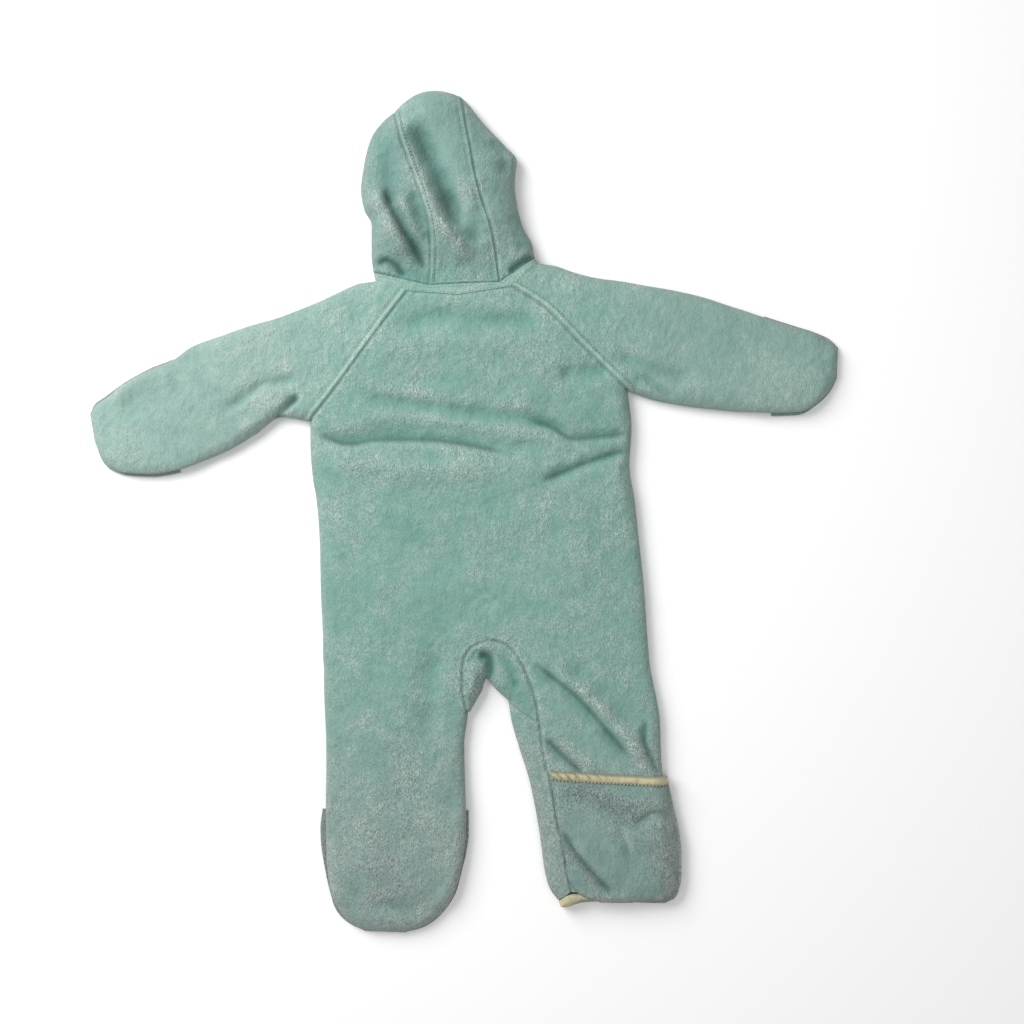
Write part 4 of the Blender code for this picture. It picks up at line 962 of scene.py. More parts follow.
@dataclass
class Leaf:
    """One part of a panel, between two edges.

    An edge is a fold (outline, and the cloth goes on to the other side), open (outline with a side seam),
    seam (set back from its neighbour), flush, proud (a little outside the edge) or hang (falls to its rim).
    """

    a: Curve
    b: Curve
    places: np.ndarray
    side: Side
    kind_a: Kind
    kind_b: Kind
    ends: tuple[str, str] = ("flush", "flush")
    bow: tuple[float, ...] | None = None
    columns: int = 0
    bulge: float = 0.0
    bulge_across: bool = False
    puckers: float = 0.0

    def plan(self, places: np.ndarray, fractions: np.ndarray) -> np.ndarray:
        """Points in the plane: one row for each place, at these fractions across it.

        Args:
            places: places along the leaf's ends.
            fractions: shares of the way across, for each row.

        Returns:
            Their x and y, in mm.
        """
        a, b = self.a(places)[:, None, :], self.b(places)[:, None, :]
        along = b - a
        points = a + fractions[..., None] * along
        if self.bow is not None:
            bow = np.interp(places, np.arange(len(self.bow)), self.bow)[:, None]
            across = np.stack([-along[..., 1], along[..., 0]], axis=-1)
            across /= np.maximum(np.linalg.norm(across, axis=-1, keepdims=True), 1e-9)
            points = points + (4 * bow * fractions * (1 - fractions))[..., None] * across
        return points

    def fractions(self) -> np.ndarray:
        """Columns of each row, close together where the cloth rolls over at an outline.

        Returns:
            Shares of the way across, from 0 to 1, for each row.
        """
        a, b = self.a(self.places), self.b(self.places)
        width = np.linalg.norm(b - a, axis=1)

        def roll(kind: Kind) -> np.ndarray:
            """Distances of the columns near an edge of this kind.

            Args:
                kind: the edge's kind.

            Returns:
                Distances in mm.
            """
            found = kinds(kind, self.places)
            if found[0] in ("seam", "flush") and self.side is Side.UPPER and self.columns != 4:
                return np.array(BESIDE_SEAM, float)
            if np.isin(found, (*ON_OUTLINE, "hang")).any():
                return np.array(ROLL.get(self.side, (0,)), float)
            return np.array((0,), float)

        head, tail = roll(self.kind_a), roll(self.kind_b)
        spacing = COARSE if self.side in (Side.LOWER, Side.TABLE) else FINE
        inner = self.columns or max(2, round((width.max() - head[-1] - tail[-1]) / spacing) - 1)
        shrink = np.minimum(1, 0.35 * width / max(head[-1], tail[-1], 1e-9))[:, None]
        head = head * shrink / width[:, None]
        tail = 1 - (tail * shrink / width[:, None])[:, ::-1]
        share = np.linspace(0, 1, inner + 2)[1:-1]
        middle = head[:, -1:] + share * (tail[:, :1] - head[:, -1:])
        found = np.concatenate([head, middle, tail], axis=1)
        for column, kind, sign in ((0, self.kind_a, 1), (-1, self.kind_b, -1)):
            edge = kinds(kind, self.places)
            inset = np.select([edge == "seam", edge == "proud", edge == "flush"], [-0.1, -2.4, -0.1], 0.0)
            found[:, column] += sign * inset / width
        return found

    def surface(self, suit: LaidSuit) -> tuple[np.ndarray, np.ndarray, np.ndarray]:
        """Points in the plane, heights and directions out of the cloth, row by row.

        Args:
            suit: the suit that the leaf lies on.

        Returns:
            Points in the plane, their heights and the directions.
        """
        places, fractions = self.places, self.fractions()
        points = self.plan(places, fractions)
        z = self.heights(suit, points, fractions)
        rise = FACING[self.side]
        rims = np.zeros(z.shape, bool)
        for column, kind in ((0, self.kind_a), (-1, self.kind_b)):
            found = kinds(kind, places)
            rims[:, column] = np.isin(found, ON_OUTLINE)
            level = suit.seam_height(points[:, column]) + rise * GAP / 2 * (found == "open")
            z[:, column] = np.where(rims[:, column], level, z[:, column])
        for end in (0, -1):
            if self.ends[end] in ON_OUTLINE:
                rims[end] = True
                z[end] = suit.seam_height(points[end]) + rise * GAP / 2 * (self.ends[end] == "open")
        return points, z, self.outward(suit, points, rims)

    def heights(self, suit: LaidSuit, points: np.ndarray, fractions: np.ndarray) -> np.ndarray:
        """Heights of a grid of points, with the leaf's own bulge between its ends.

        Args:
            suit: the suit that the leaf lies on.
            points: their x and y, in mm.
            fractions: shares of the way across, for each row.

        Returns:
            Heights in mm.
        """
        flat = suit.height(self.side, points.reshape(-1, 2)).reshape(points.shape[:2])
        if self.bulge:
            share = fractions if self.bulge_across else np.linspace(0, 1, len(points))[:, None]
            round_top = np.sqrt(np.clip(4 * share * (1 - share), 0, 1))
            slant = points[..., 0] + 0.8 * points[..., 1]
            fade = smooth_step((145 - points[..., 0]) / 30)
            wave = -2 * np.clip(np.sin(slant / 1.35 + 1.5 * np.sin(slant / 9)), 0, 1) ** 3
            flat = flat + (self.bulge + self.puckers * wave * fade) * round_top
        return flat

    def outward(self, suit: LaidSuit, points: np.ndarray, rims: np.ndarray) -> np.ndarray:
        """Unit directions out of the cloth: level at the outline, else square to the surface.

        Args:
            suit: the suit that the leaf lies on.
            points: their x and y, in mm.
            rims: which columns lie on an outline.

        Returns:
            One direction for each point.
        """
        small = 0.35
        flat = points.reshape(-1, 2)
        slope = []
        for offset in ((small, 0.0), (0.0, small)):
            step = np.array(offset)
            high, low = suit.height(self.side, flat + step), suit.height(self.side, flat - step)
            slope.append((high - low) / (2 * small))
        out = np.stack([-slope[0], -slope[1], np.ones(len(flat))], axis=-1)
        out *= FACING[self.side]
        out = (out / np.linalg.norm(out, axis=-1, keepdims=True)).reshape(*points.shape[:2], 3)
        centre = points.mean(axis=1, keepdims=True)
        down, across = np.gradient(points, axis=0), np.gradient(points, axis=1)
        for column in (0, -1):
            level = level_out(down[:, column], points[:, column] - centre[:, 0])
            out[:, column] = np.where(rims[:, column, None], level, out[:, column])
        for end, inner in ((0, 1), (-1, -2)):
            if self.ends[end] in ON_OUTLINE:
                out[end] = level_out(across[end], points[end] - points[inner])
        return out


def level_out(tangent: np.ndarray, away: np.ndarray) -> np.ndarray:
    """Level unit directions square to an edge's tangent, on the side that `away` points to.

    Args:
        tangent: directions along the edge.
        away: roughly the direction wanted.

    Returns:
        One direction for each point.
    """
    level = np.stack([tangent[:, 1], -tangent[:, 0]], axis=-1)
    level *= np.sign((level * away).sum(axis=-1, keepdims=True))
    level /= np.maximum(np.linalg.norm(level, axis=-1, keepdims=True), 1e-9)
    return np.concatenate([level, np.zeros((len(level), 1))], axis=-1)


def linear(colour: str) -> tuple[float, float, float, float]:
    """An sRGB hex colour as linear RGBA.

    Args:
        colour: the colour, as # and six digits.

    Returns:
        Red, green, blue and 1.
    """
    parts = [int(colour[i : i + 2], 16) / 255 for i in (1, 3, 5)]
    values = [p / 12.92 if p <= 0.04045 else ((p + 0.055) / 1.055) ** 2.4 for p in parts]
    return (*values, 1.0)


def node(tree: bpy.types.NodeTree, kind: str, settings: dict | None = None,
         **inputs: object) -> bpy.types.Node:
    """Adds a node.

    Args:
        tree: the material's nodes.
        kind: the node's type.
        settings: its own settings by name.
        **inputs: its sockets, by name with _ for a space or by i and a number. A socket is linked and a
            value is set.

    Returns:
        The node.
    """
    made = tree.nodes.new(kind)
    for name, value in (settings or {}).items():
        setattr(made, name, value)
    for name, value in inputs.items():
        key = int(name[1:]) if name[0] == "i" and name[1:].isdigit() else name.replace("_", " ")
        socket = made.inputs[key]
        if isinstance(value, bpy.types.NodeSocket):
            tree.links.new(value, socket)
        else:
            socket.default_value = value
    return made


def new_material(name: str) -> tuple[bpy.types.Material, bpy.types.NodeTree, bpy.types.Node]:
    """A material with only its Principled shader and output.

    Args:
        name: the material's name.

    Returns:
        The material, its node tree and its shader.
    """
    made = bpy.data.materials.new(name)
    made.use_nodes = True
    return made, made.node_tree, made.node_tree.nodes["Principled BSDF"]


@dataclass(frozen=True)
class PlushFleece:
    """Napped polyester plush: a short dense pile that lies in patches, paler where it stands open.

    The eye sees hand-sized clouds where the pile lies one way or the other, flecks where tufts stand open,
    and greyer, duller cloth where it is worn, which at the rims is painted shade. Real tufts are about 0.4 mm
    wide. They are drawn three times as coarse, so that they show from the camera's height.
    """

    name: str = "plush_fleece"
    stops: tuple[tuple[float, str], ...] = (
        (0.0, "#38655d"), (0.28, "#588a81"), (0.5, "#749d93"), (0.74, "#94b3a8"), (1.0, "#c3d6cb"),
    )
    dust_and_shade: str = "#8f9a94"
    patch_mm: float = 46.0
    clump_mm: float = 4.2
    tuft_mm: float = 1.25
    nap_angle: float = 0.5
    roughness: float = 0.93
    sheen: float = 0.22
    bump_m: float = 0.0013

    def build(self) -> bpy.types.Material:
        """Makes the material.

        Returns:
            The material.
        """
        made, tree, shader = new_material(self.name)
        place = node(tree, "ShaderNodeTexCoord").outputs["Object"]
        lie = node(tree, "ShaderNodeMapping", i0=place, Rotation=(0, 0, self.nap_angle),
                   Scale=(1.0, 0.6, 1.0)).outputs[0]

        def grain(size: float, detail: float, at: bpy.types.NodeSocket,
                  twist: float = 0.0) -> bpy.types.NodeSocket:
            """Noise with features of this size in mm."""
            return node(tree, "ShaderNodeTexNoise", Vector=at, Scale=1000 / size, Detail=detail,
                        Distortion=twist).outputs[0]

        def maths(kind: str, *values: object) -> bpy.types.NodeSocket:
            """The result of one Math node."""
            sockets = {f"i{index}": value for index, value in enumerate(values)}
            return node(tree, "ShaderNodeMath", {"operation": kind}, **sockets).outputs[0]

        def eased(value: bpy.types.NodeSocket, *limits: float) -> bpy.types.NodeSocket:
            """A value eased from one span of numbers to another.

            Args:
                value: the socket to ease.
                limits: the span it comes from, then the span it goes to.

            Returns:
                The eased value.
            """
            span = {f"i{index + 1}": limit for index, limit in enumerate(limits)}
            return node(tree, "ShaderNodeMapRange", {"interpolation_type": "SMOOTHSTEP"}, Value=value,
                        **span).outputs[0]

        def known(name: str) -> bpy.types.NodeSocket:
            """One of the panel's own attributes."""
            return node(tree, "ShaderNodeAttribute", {"attribute_name": name}).outputs["Fac"]

        # How open the pile stands, in patches.
        patch, smaller = grain(self.patch_mm, 3.0, place), grain(0.35 * self.patch_mm, 2.0, place)
        clump, tuft = grain(self.clump_mm, 2.0, lie, 0.6), grain(self.tuft_mm, 1.0, lie, 0.3)
        stands = maths("MULTIPLY_ADD", maths("SUBTRACT", patch, 0.5), 1.3, known("open"))
        stands = maths("MULTIPLY_ADD", maths("SUBTRACT", smaller, 0.5), 1.1, stands)
        stands = eased(stands, 0.0, 1.4, 0.0, 1.0)
        # How pale it is: slow clouds, clumps of tufts, and flecks of single tufts where it stands open.
        base = maths("SUBTRACT", known("tone"), 0.22)
        cloudy = maths("MULTIPLY_ADD", maths("ADD", patch, smaller), 0.2, base)
        value = maths("MULTIPLY_ADD", stands, 0.04, cloudy)
        clumped = maths("MULTIPLY_ADD", stands, 0.25, 0.14)
        value = maths("MULTIPLY_ADD", maths("SUBTRACT", clump, 0.5), clumped, value)
        speck = maths("MULTIPLY", maths("SUBTRACT", tuft, 0.5), maths("MULTIPLY_ADD", stands, 1.15, 0.3))
        value = maths("ADD", speck, value)
        ramp = node(tree, "ShaderNodeValToRGB", Fac=value)
        bands = ramp.color_ramp.elements
        for band, (position, colour) in zip((bands[0], bands[1]), (self.stops[0], self.stops[-1])):
            band.position, band.color = position, linear(colour)
        for position, colour in self.stops[1:-1]:
            bands.new(position).color = linear(colour)
        # Open and worn pile is greyer, and dust lies in it; the same grey at the rims is painted shade.
        grey = maths("MULTIPLY_ADD", stands, 0.3, known("dust_and_shade"))
        faded = node(tree, "ShaderNodeHueSaturation", Saturation=maths("SUBTRACT", 0.98, grey),
                     Color=ramp.outputs["Color"]).outputs[0]
        dusty_and_shaded = node(tree, "ShaderNodeMix", {"data_type": "RGBA"}, i0=maths("MULTIPLY", known("dust_and_shade"), 0.4),
                     i6=faded, i7=linear(self.dust_and_shade)).outputs[2]
        # Light doesn't reach into seams, stitch lines and laps.
        groove = eased(maths("ABSOLUTE", known("seam")), 0.0, 2.3, 0.78, 1.0)
        sewn = eased(maths("ABSOLUTE", known("stitch")), 0.0, 1.6, 0.84, 1.0)
        tucked = maths("MULTIPLY_ADD", known("lap"), -0.45, 1.0)
        shadow = maths("MULTIPLY", maths("MULTIPLY", groove, sewn), tucked)
        tinted = node(tree, "ShaderNodeMix", {"data_type": "RGBA", "blend_type": "MULTIPLY"}, i0=1.0,
                      i6=dusty_and_shaded, i7=shadow).outputs[2]
        tree.links.new(tinted, shader.inputs["Base Color"])
        # The relief of the pile, deeper where it stands open.
        pile = maths("MULTIPLY", tuft, maths("MULTIPLY_ADD", stands, 1.0, 0.45))
        pile = maths("MULTIPLY_ADD", clump, 0.8, pile)
        pile = maths("MULTIPLY_ADD", shadow, 0.9, pile)
        bump = node(tree, "ShaderNodeBump", Strength=0.85, Distance=self.bump_m, Height=pile)
        tree.links.new(bump.outputs[0], shader.inputs["Normal"])
        constants = {"Roughness": self.roughness, "Specular IOR Level": 0.12, "Sheen Weight": self.sheen,
                     "Sheen Roughness": 0.55, "Sheen Tint": linear("#dfeae2")}
        for name, value in constants.items():
            shader.inputs[name].default_value = value
        return made


@dataclass(frozen=True)
class TwoTone:
    """A plain finish: two close tones laid out by one texture, which may also give the relief."""

    name: str
    dark: str
    pale: str
    roughness: float = 0.7
    sheen: float = 0.0
    strength: float = 0.0
    depth_m: float = 0.0001

    def texture(self, tree: bpy.types.NodeTree, place: bpy.types.NodeSocket) -> bpy.types.Node:
        """The texture that lays out the tones."""
        raise NotImplementedError

    def relief(self, tree: bpy.types.NodeTree, place: bpy.types.NodeSocket,
               tones: bpy.types.NodeSocket) -> bpy.types.NodeSocket:
        """Height of the relief, which follows the tones."""
        return tones

    def shaded(self, tree: bpy.types.NodeTree, colour: bpy.types.NodeSocket) -> bpy.types.NodeSocket:
        """The colour as it is seen."""
        return colour

    def build(self) -> bpy.types.Material:
        """Makes the material.

        Returns:
            The material.
        """
        made, tree, shader = new_material(self.name)
        place = node(tree, "ShaderNodeTexCoord").outputs["Object"]
        tones = self.texture(tree, place).outputs["Fac"]
        mixed = node(tree, "ShaderNodeMix", {"data_type": "RGBA"}, i0=tones, i6=linear(self.dark),
                     i7=linear(self.pale)).outputs[2]
        tree.links.new(self.shaded(tree, mixed), shader.inputs["Base Color"])
        if self.strength:
            bump = node(tree, "ShaderNodeBump", Strength=self.strength, Distance=self.depth_m,
                        Height=self.relief(tree, place, tones))
            tree.links.new(bump.outputs[0], shader.inputs["Normal"])
        shader.inputs["Roughness"].default_value = self.roughness
        shader.inputs["Sheen Weight"].default_value = self.sheen
        return made


@dataclass(frozen=True)
class KnitBinding(TwoTone):
    """Folded knit tape of cream cotton: fine ribs across the tape, soft, hardly glossy and a little soiled.

    The eye sees a matt cream edge, with painted shade where it turns under at its seam. Real ribs are 0.5 mm
    apart, and are drawn nearly twice as coarse.
    """

    name: str = "knit_binding"
    dark: str = "#a39f80"
    pale: str = "#c3bd9c"
    roughness: float = 0.8
    sheen: float = 0.2
    strength: float = 0.5
    depth_m: float = 0.0003
    rib_mm: float = 0.9
    turn_mm: float = 3.0

    def texture(self, tree: bpy.types.NodeTree, place: bpy.types.NodeSocket) -> bpy.types.Node:
        """Clouds of soil over the tape."""
        return node(tree, "ShaderNodeTexNoise", Vector=place, Scale=90.0, Detail=4.0)

    def relief(self, tree: bpy.types.NodeTree, place: bpy.types.NodeSocket,
               tones: bpy.types.NodeSocket) -> bpy.types.NodeSocket:
        """Height of the ribs across the tape."""
        return node(tree, "ShaderNodeTexWave", {"wave_type": "BANDS", "bands_direction": "X"}, Vector=place,
                    Scale=1000 / self.rib_mm / 20, Distortion=1.2, Detail=2.0).outputs[1]

    def shaded(self, tree: bpy.types.NodeTree, colour: bpy.types.NodeSocket) -> bpy.types.NodeSocket:
        """The colour, with painted shade where the tape turns under at its seam.

        Args:
            tree: the material's nodes.
            colour: the tape's own colour.

        Returns:
            The shaded colour.
        """
        seam = node(tree, "ShaderNodeAttribute", {"attribute_name": "seam"}).outputs["Fac"]
        turn_shade = node(tree, "ShaderNodeMapRange", {"interpolation_type": "SMOOTHSTEP"}, Value=seam,
                      i2=self.turn_mm, i3=0.5, i4=1.0).outputs[0]
        return node(tree, "ShaderNodeMix", {"data_type": "RGBA", "blend_type": "MULTIPLY"}, i0=1.0,
                    i6=colour, i7=turn_shade).outputs[2]


@dataclass(frozen=True)
class WovenTape(TwoTone):
    """Polyester zip tape woven in twill, with moulded teeth of the same green.

    The eye sees fine slanting ribs, drawn about three times as coarse as a real twill's.
    """

    name: str = "woven_zip_tape"
    dark: str = "#6f968c"
    pale: str = "#86aca2"
    strength: float = 0.4
    depth_m: float = 0.0002

    def texture(self, tree: bpy.types.NodeTree, place: bpy.types.NodeSocket) -> bpy.types.Node:
        """Slanting ribs."""
        return node(tree, "ShaderNodeTexWave", {"wave_type": "BANDS", "bands_direction": "DIAGONAL"},
                    Vector=place, Scale=70.0)


@dataclass(frozen=True)
class EnamelledZinc(TwoTone):
    """Cast zinc with a baked cream enamel: smooth and faintly uneven, so that its soft gloss wavers."""

    name: str = "enamelled_zinc"
    dark: str = "#b8ab8a"
    pale: str = "#cfc29e"
    roughness: float = 0.35
    strength: float = 0.2

    def texture(self, tree: bpy.types.NodeTree, place: bpy.types.NodeSocket) -> bpy.types.Node:
        """Small patches of wear."""
        return node(tree, "ShaderNodeTexNoise", Vector=place, Scale=400.0, Detail=3.0)


@dataclass(frozen=True)
class SpunThread(TwoTone):
    """Spun polyester thread: dull, with a fine twist that shows as light and dark along each stitch."""

    twist_mm: float = 0.6

    def texture(self, tree: bpy.types.NodeTree, place: bpy.types.NodeSocket) -> bpy.types.Node:
        """Light and dark of the twist."""
        return node(tree, "ShaderNodeTexNoise", Vector=place, Scale=1000 / self.twist_mm, Detail=1.0)


SHADES = ("tone", "open", "dust_and_shade", "seam", "stitch", "lap")
# Distances in mm that stand for no seam and no stitch nearby.
FAR_SEAM, FAR_STITCH = 30.0, 10.0


def hump(away: np.ndarray, width: float) -> np.ndarray:
    """A smooth bump: 1 in the middle, and nearly 0 at twice its half width."""
    return np.exp(-((away / width) ** 2))


def nearest_seam(flat: np.ndarray, seams: Sequence[np.ndarray]) -> tuple[np.ndarray, np.ndarray]:
    """Distance of points to the nearest of some seams, and the distance along that seam.

    Args:
        flat: their x and y, in mm.
        seams: the seams' runs of points.

    Returns:
        Both distances, in mm.
    """
    seam, along = np.full(len(flat), FAR_SEAM), np.zeros(len(flat))
    for run in seams:
        away, _, place = near(flat, run)
        closer = away < seam
        seam, along = np.where(closer, away, seam), np.where(closer, place, along)
    return seam, along


@dataclass
class Workshop:
    """Makes pieces of cloth over the laid-out suit, and keeps the finishes."""

    suit: LaidSuit
    finishes: dict[str, bpy.types.Material]
    pucker: float = 0.25
    groove: float = 0.7
    band_rise: float = 0.8
    stitch_sink: float = 0.6
    fuzz: float = 0.22

    def cloth(self, name: str, cad_node: str, leaves: Sequence[Leaf], finish: str,
              tone: float = 0.0, seams: Sequence[np.ndarray] = (), band: float = 0.0) -> bpy.types.Object:
        """Sews leaves into one panel of cloth with a wall's thickness.

        Args:
            name: the piece's name.
            cad_node: the CAD node that it stands for.
            leaves: the parts that it is sewn from.
            finish: its finish's name.
            tone: how much paler than the body's cloth it is.
            seams: its sewn edges, as runs of points.
            band: width of the topstitched band along them, or 0.

        Returns:
            The piece, riding on the suit.
        """
        bm = bmesh.new()
        values: dict[str, list[np.ndarray]] = {key: [] for key in ("co", "out", *SHADES)}
        for leaf in leaves:
            points, z, out = leaf.surface(self.suit)
            rows, columns = z.shape
            bmesh.ops.create_grid(bm, x_segments=columns - 1, y_segments=rows - 1, size=1)
            flat = points.reshape(-1, 2)
            height, shades = self.sewn(leaf, flat, z.ravel(), seams, band)
            values["co"].append(np.column_stack([(flat + SHIFT) * MM, height * MM]))
            values["out"].append(out.reshape(-1, 3))
            shades["tone"] += tone
            for key, found in shades.items():
                values[key].append(found)
        arrays = {key: np.concatenate(found) for key, found in values.items()}
        layers = {key: bm.verts.layers.float.new(key) for key in SHADES}
        out_layer = bm.verts.layers.float_vector.new("out")
        for index, vert in enumerate(bm.verts):
            vert.co = arrays["co"][index]
            vert[out_layer] = arrays["out"][index]
            for key, layer in layers.items():
                vert[layer] = arrays[key][index]
        bmesh.ops.remove_doubles(bm, verts=bm.verts, dist=0.00004)
        grown = bmesh.ops.extrude_face_region(bm, geom=bm.faces[:], use_keep_orig=True)
        for element in grown["geom"]:
            if isinstance(element, bmesh.types.BMVert):
                element.co -= element[out_layer] * WALL * MM
        bmesh.ops.recalc_face_normals(bm, faces=bm.faces)
        if bm.calc_volume(signed=True) < 0:
            bmesh.ops.reverse_faces(bm, faces=bm.faces)
        for face in bm.faces:
            face.smooth = True
        mesh = bpy.data.meshes.new(name)
        bm.to_mesh(mesh)
        bm.free()
        mesh.attributes.remove(mesh.attributes["out"])
        mesh.set_sharp_from_angle(angle=math.radians(55))
        return self.finished(mesh, finish, cad_node)

    def piece(self, name: str, bm: bmesh.types.BMesh, finish: str, slot: str,
              cad_node: str | None = None) -> bpy.types.Object:
        """Makes an object of a finished mesh.

        Args:
            name: the piece's name.
            bm: its mesh, in metres and in its place.
            finish: its finish's name.
            slot: the record's material slot; not used.
            cad_node: the CAD node that it stands for, if it does.

        Returns:
            The piece, riding on the suit.
        """
        mesh = bpy.data.meshes.new(name)
        bmesh.ops.recalc_face_normals(bm, faces=bm.faces)
        bm.to_mesh(mesh)
        bm.free()
        return self.finished(mesh, finish, cad_node)

    def finished(self, mesh: bpy.types.Mesh, finish: str,
                 cad_node: str | None) -> bpy.types.Object:
        """Puts a mesh in the scene as a piece.

        Args:
            mesh: the piece's mesh, which has the piece's name.
            finish: its finish's name.
            cad_node: the CAD node that it stands for, if it does.

        Returns:
            The piece, riding on the suit.
        """
        mesh.materials.append(self.finishes[finish])
        obj = bpy.data.objects.new(mesh.name, mesh)
        bpy.context.scene.collection.objects.link(obj)
        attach(obj, "suit")
        if cad_node:
            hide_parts(cad_node)
        LOG.info("%s: %d triangles", mesh.name, sum(len(face.vertices) - 2 for face in mesh.polygons))
        return obj

    def sewn(self, leaf: Leaf, flat: np.ndarray, z: np.ndarray, seams: Sequence[np.ndarray],
             band: float) -> tuple[np.ndarray, dict[str, np.ndarray]]:
        """Heights with the seams' bands and puckers, and the shades that follow them.

        Args:
            leaf: the leaf of cloth.
            flat: their x and y, in mm.
            z: their heights, in mm.
            seams: the seams sewn through it.
            band: width in mm of the raised band by a seam, or 0.

        Returns:
            The heights, and the shades by name.
        """
        rise = FACING[leaf.side]
        seam, along = nearest_seam(flat, seams)
        if rise > 0:
            # The cloth puckers beside a seam and sinks into it.
            pucker = np.sin(along / 1.9 + 1.3 * np.sin(along / 7.0)) + 0.6 * np.sin(along / 3.1 + 2.0)
            z = z + self.pucker * pucker * hump(seam - 3, 4.5) - self.groove * hump(seam, 1.7)
        stitch = np.full(len(flat), FAR_STITCH)
        if band:
            raised = smooth_step(seam / 2.2) * smooth_step((band + 0.4 - seam) / 1.8)
            sunk = hump(seam - band - 0.8, 1.3)
            z = z + (rise > 0) * (self.band_rise * raised - self.stitch_sink * sunk)
            stitch = np.clip(seam - band, -FAR_STITCH, FAR_STITCH)
        shades = self.shades(leaf, flat, seam, band)
        shades["stitch"] = stitch
        z = z + rise * self.fuzz * np.clip(self.suit.fuzz.at(flat), -2, 2)
        return np.maximum(z, 0.0), shades

    def shades(self, leaf: Leaf, flat: np.ndarray, seam: np.ndarray, band: float) -> dict[str, np.ndarray]:
        """How the pile lies, how worn it is and where shade is painted.

        Args:
            leaf: the part of the panel.
            flat: its points in the plane, in mm.
            seam: their distance to the nearest seam, in mm.
            band: width of the topstitched band along the seams, or 0.

        Returns:
            The tone, how open the pile stands, how grey it is (with painted shade at the rims), the seam's
            distance and a lapped crease's shade.
        """
        suit, up = self.suit, FACING[leaf.side] > 0
        folded = leaf.side is Side.OVER
        # Ridges are paler and more open than troughs, which get painted shade; rims are fuzzier, with painted
        # shade, darker and greyer.
        nap = (suit.pouch_nap if folded else suit.nap).at(flat) * up
        rim = np.exp(-np.clip(suit.depth.at(flat), 0, None) / 4.0)
        opened, paler = (found.at(flat) * up for found in (suit.pouch_nap_and_shade if folded else suit.brush))
        # Fuzzy pile stands up beside a seam.
        fuzzy = hump(seam - 3.2, 1.8) * (up and seam.min() < FAR_SEAM)
        # The legs crawl on the floor, so they are dusty, and painted shade darkens them towards the feet;
        # sleeves and hood are a little faded.
        legs = smooth_step((-130 - flat[:, 1]) / 230)
        arms = smooth_step((np.abs(flat[:, 0]) - 130) / 80) * (flat[:, 1] > 0)
        high = smooth_step((flat[:, 1] - 215) / 30)
        # Painted shade: troughs, rims and legs are darkened in the tone.
        tone = 0.52 + 0.03 * np.clip(nap, 0, 3) + 0.06 * np.clip(nap, -3, 0) + paler
        tone = tone - 0.10 * rim - 0.05 * legs
        stands = 0.40 + 0.2 * np.clip(nap, -2, 2) + 0.25 * rim + 0.25 * legs - 0.2 * arms + opened
        tone, stands = tone + 0.05 * fuzzy, stands + 0.3 * fuzzy
        if band:
            tone = tone + 0.09 * smooth_step((seam - 1) / 2) * smooth_step((band - seam) / 2)
            stands = stands - 0.25 * smooth_step((band + 1 - seam) / 2)
        return {
            "tone": tone,
            "open": stands,
            # The rims' share here is painted shade that greys them; the rest greys the legs, sleeves and
            # hood.
            "dust_and_shade": 0.05 + 0.26 * legs + 0.25 * rim + 0.12 * arms + 0.12 * high,
            "seam": seam,
            "lap": (suit.pouch_laps if folded else suit.laps).at(flat) * up,
        }


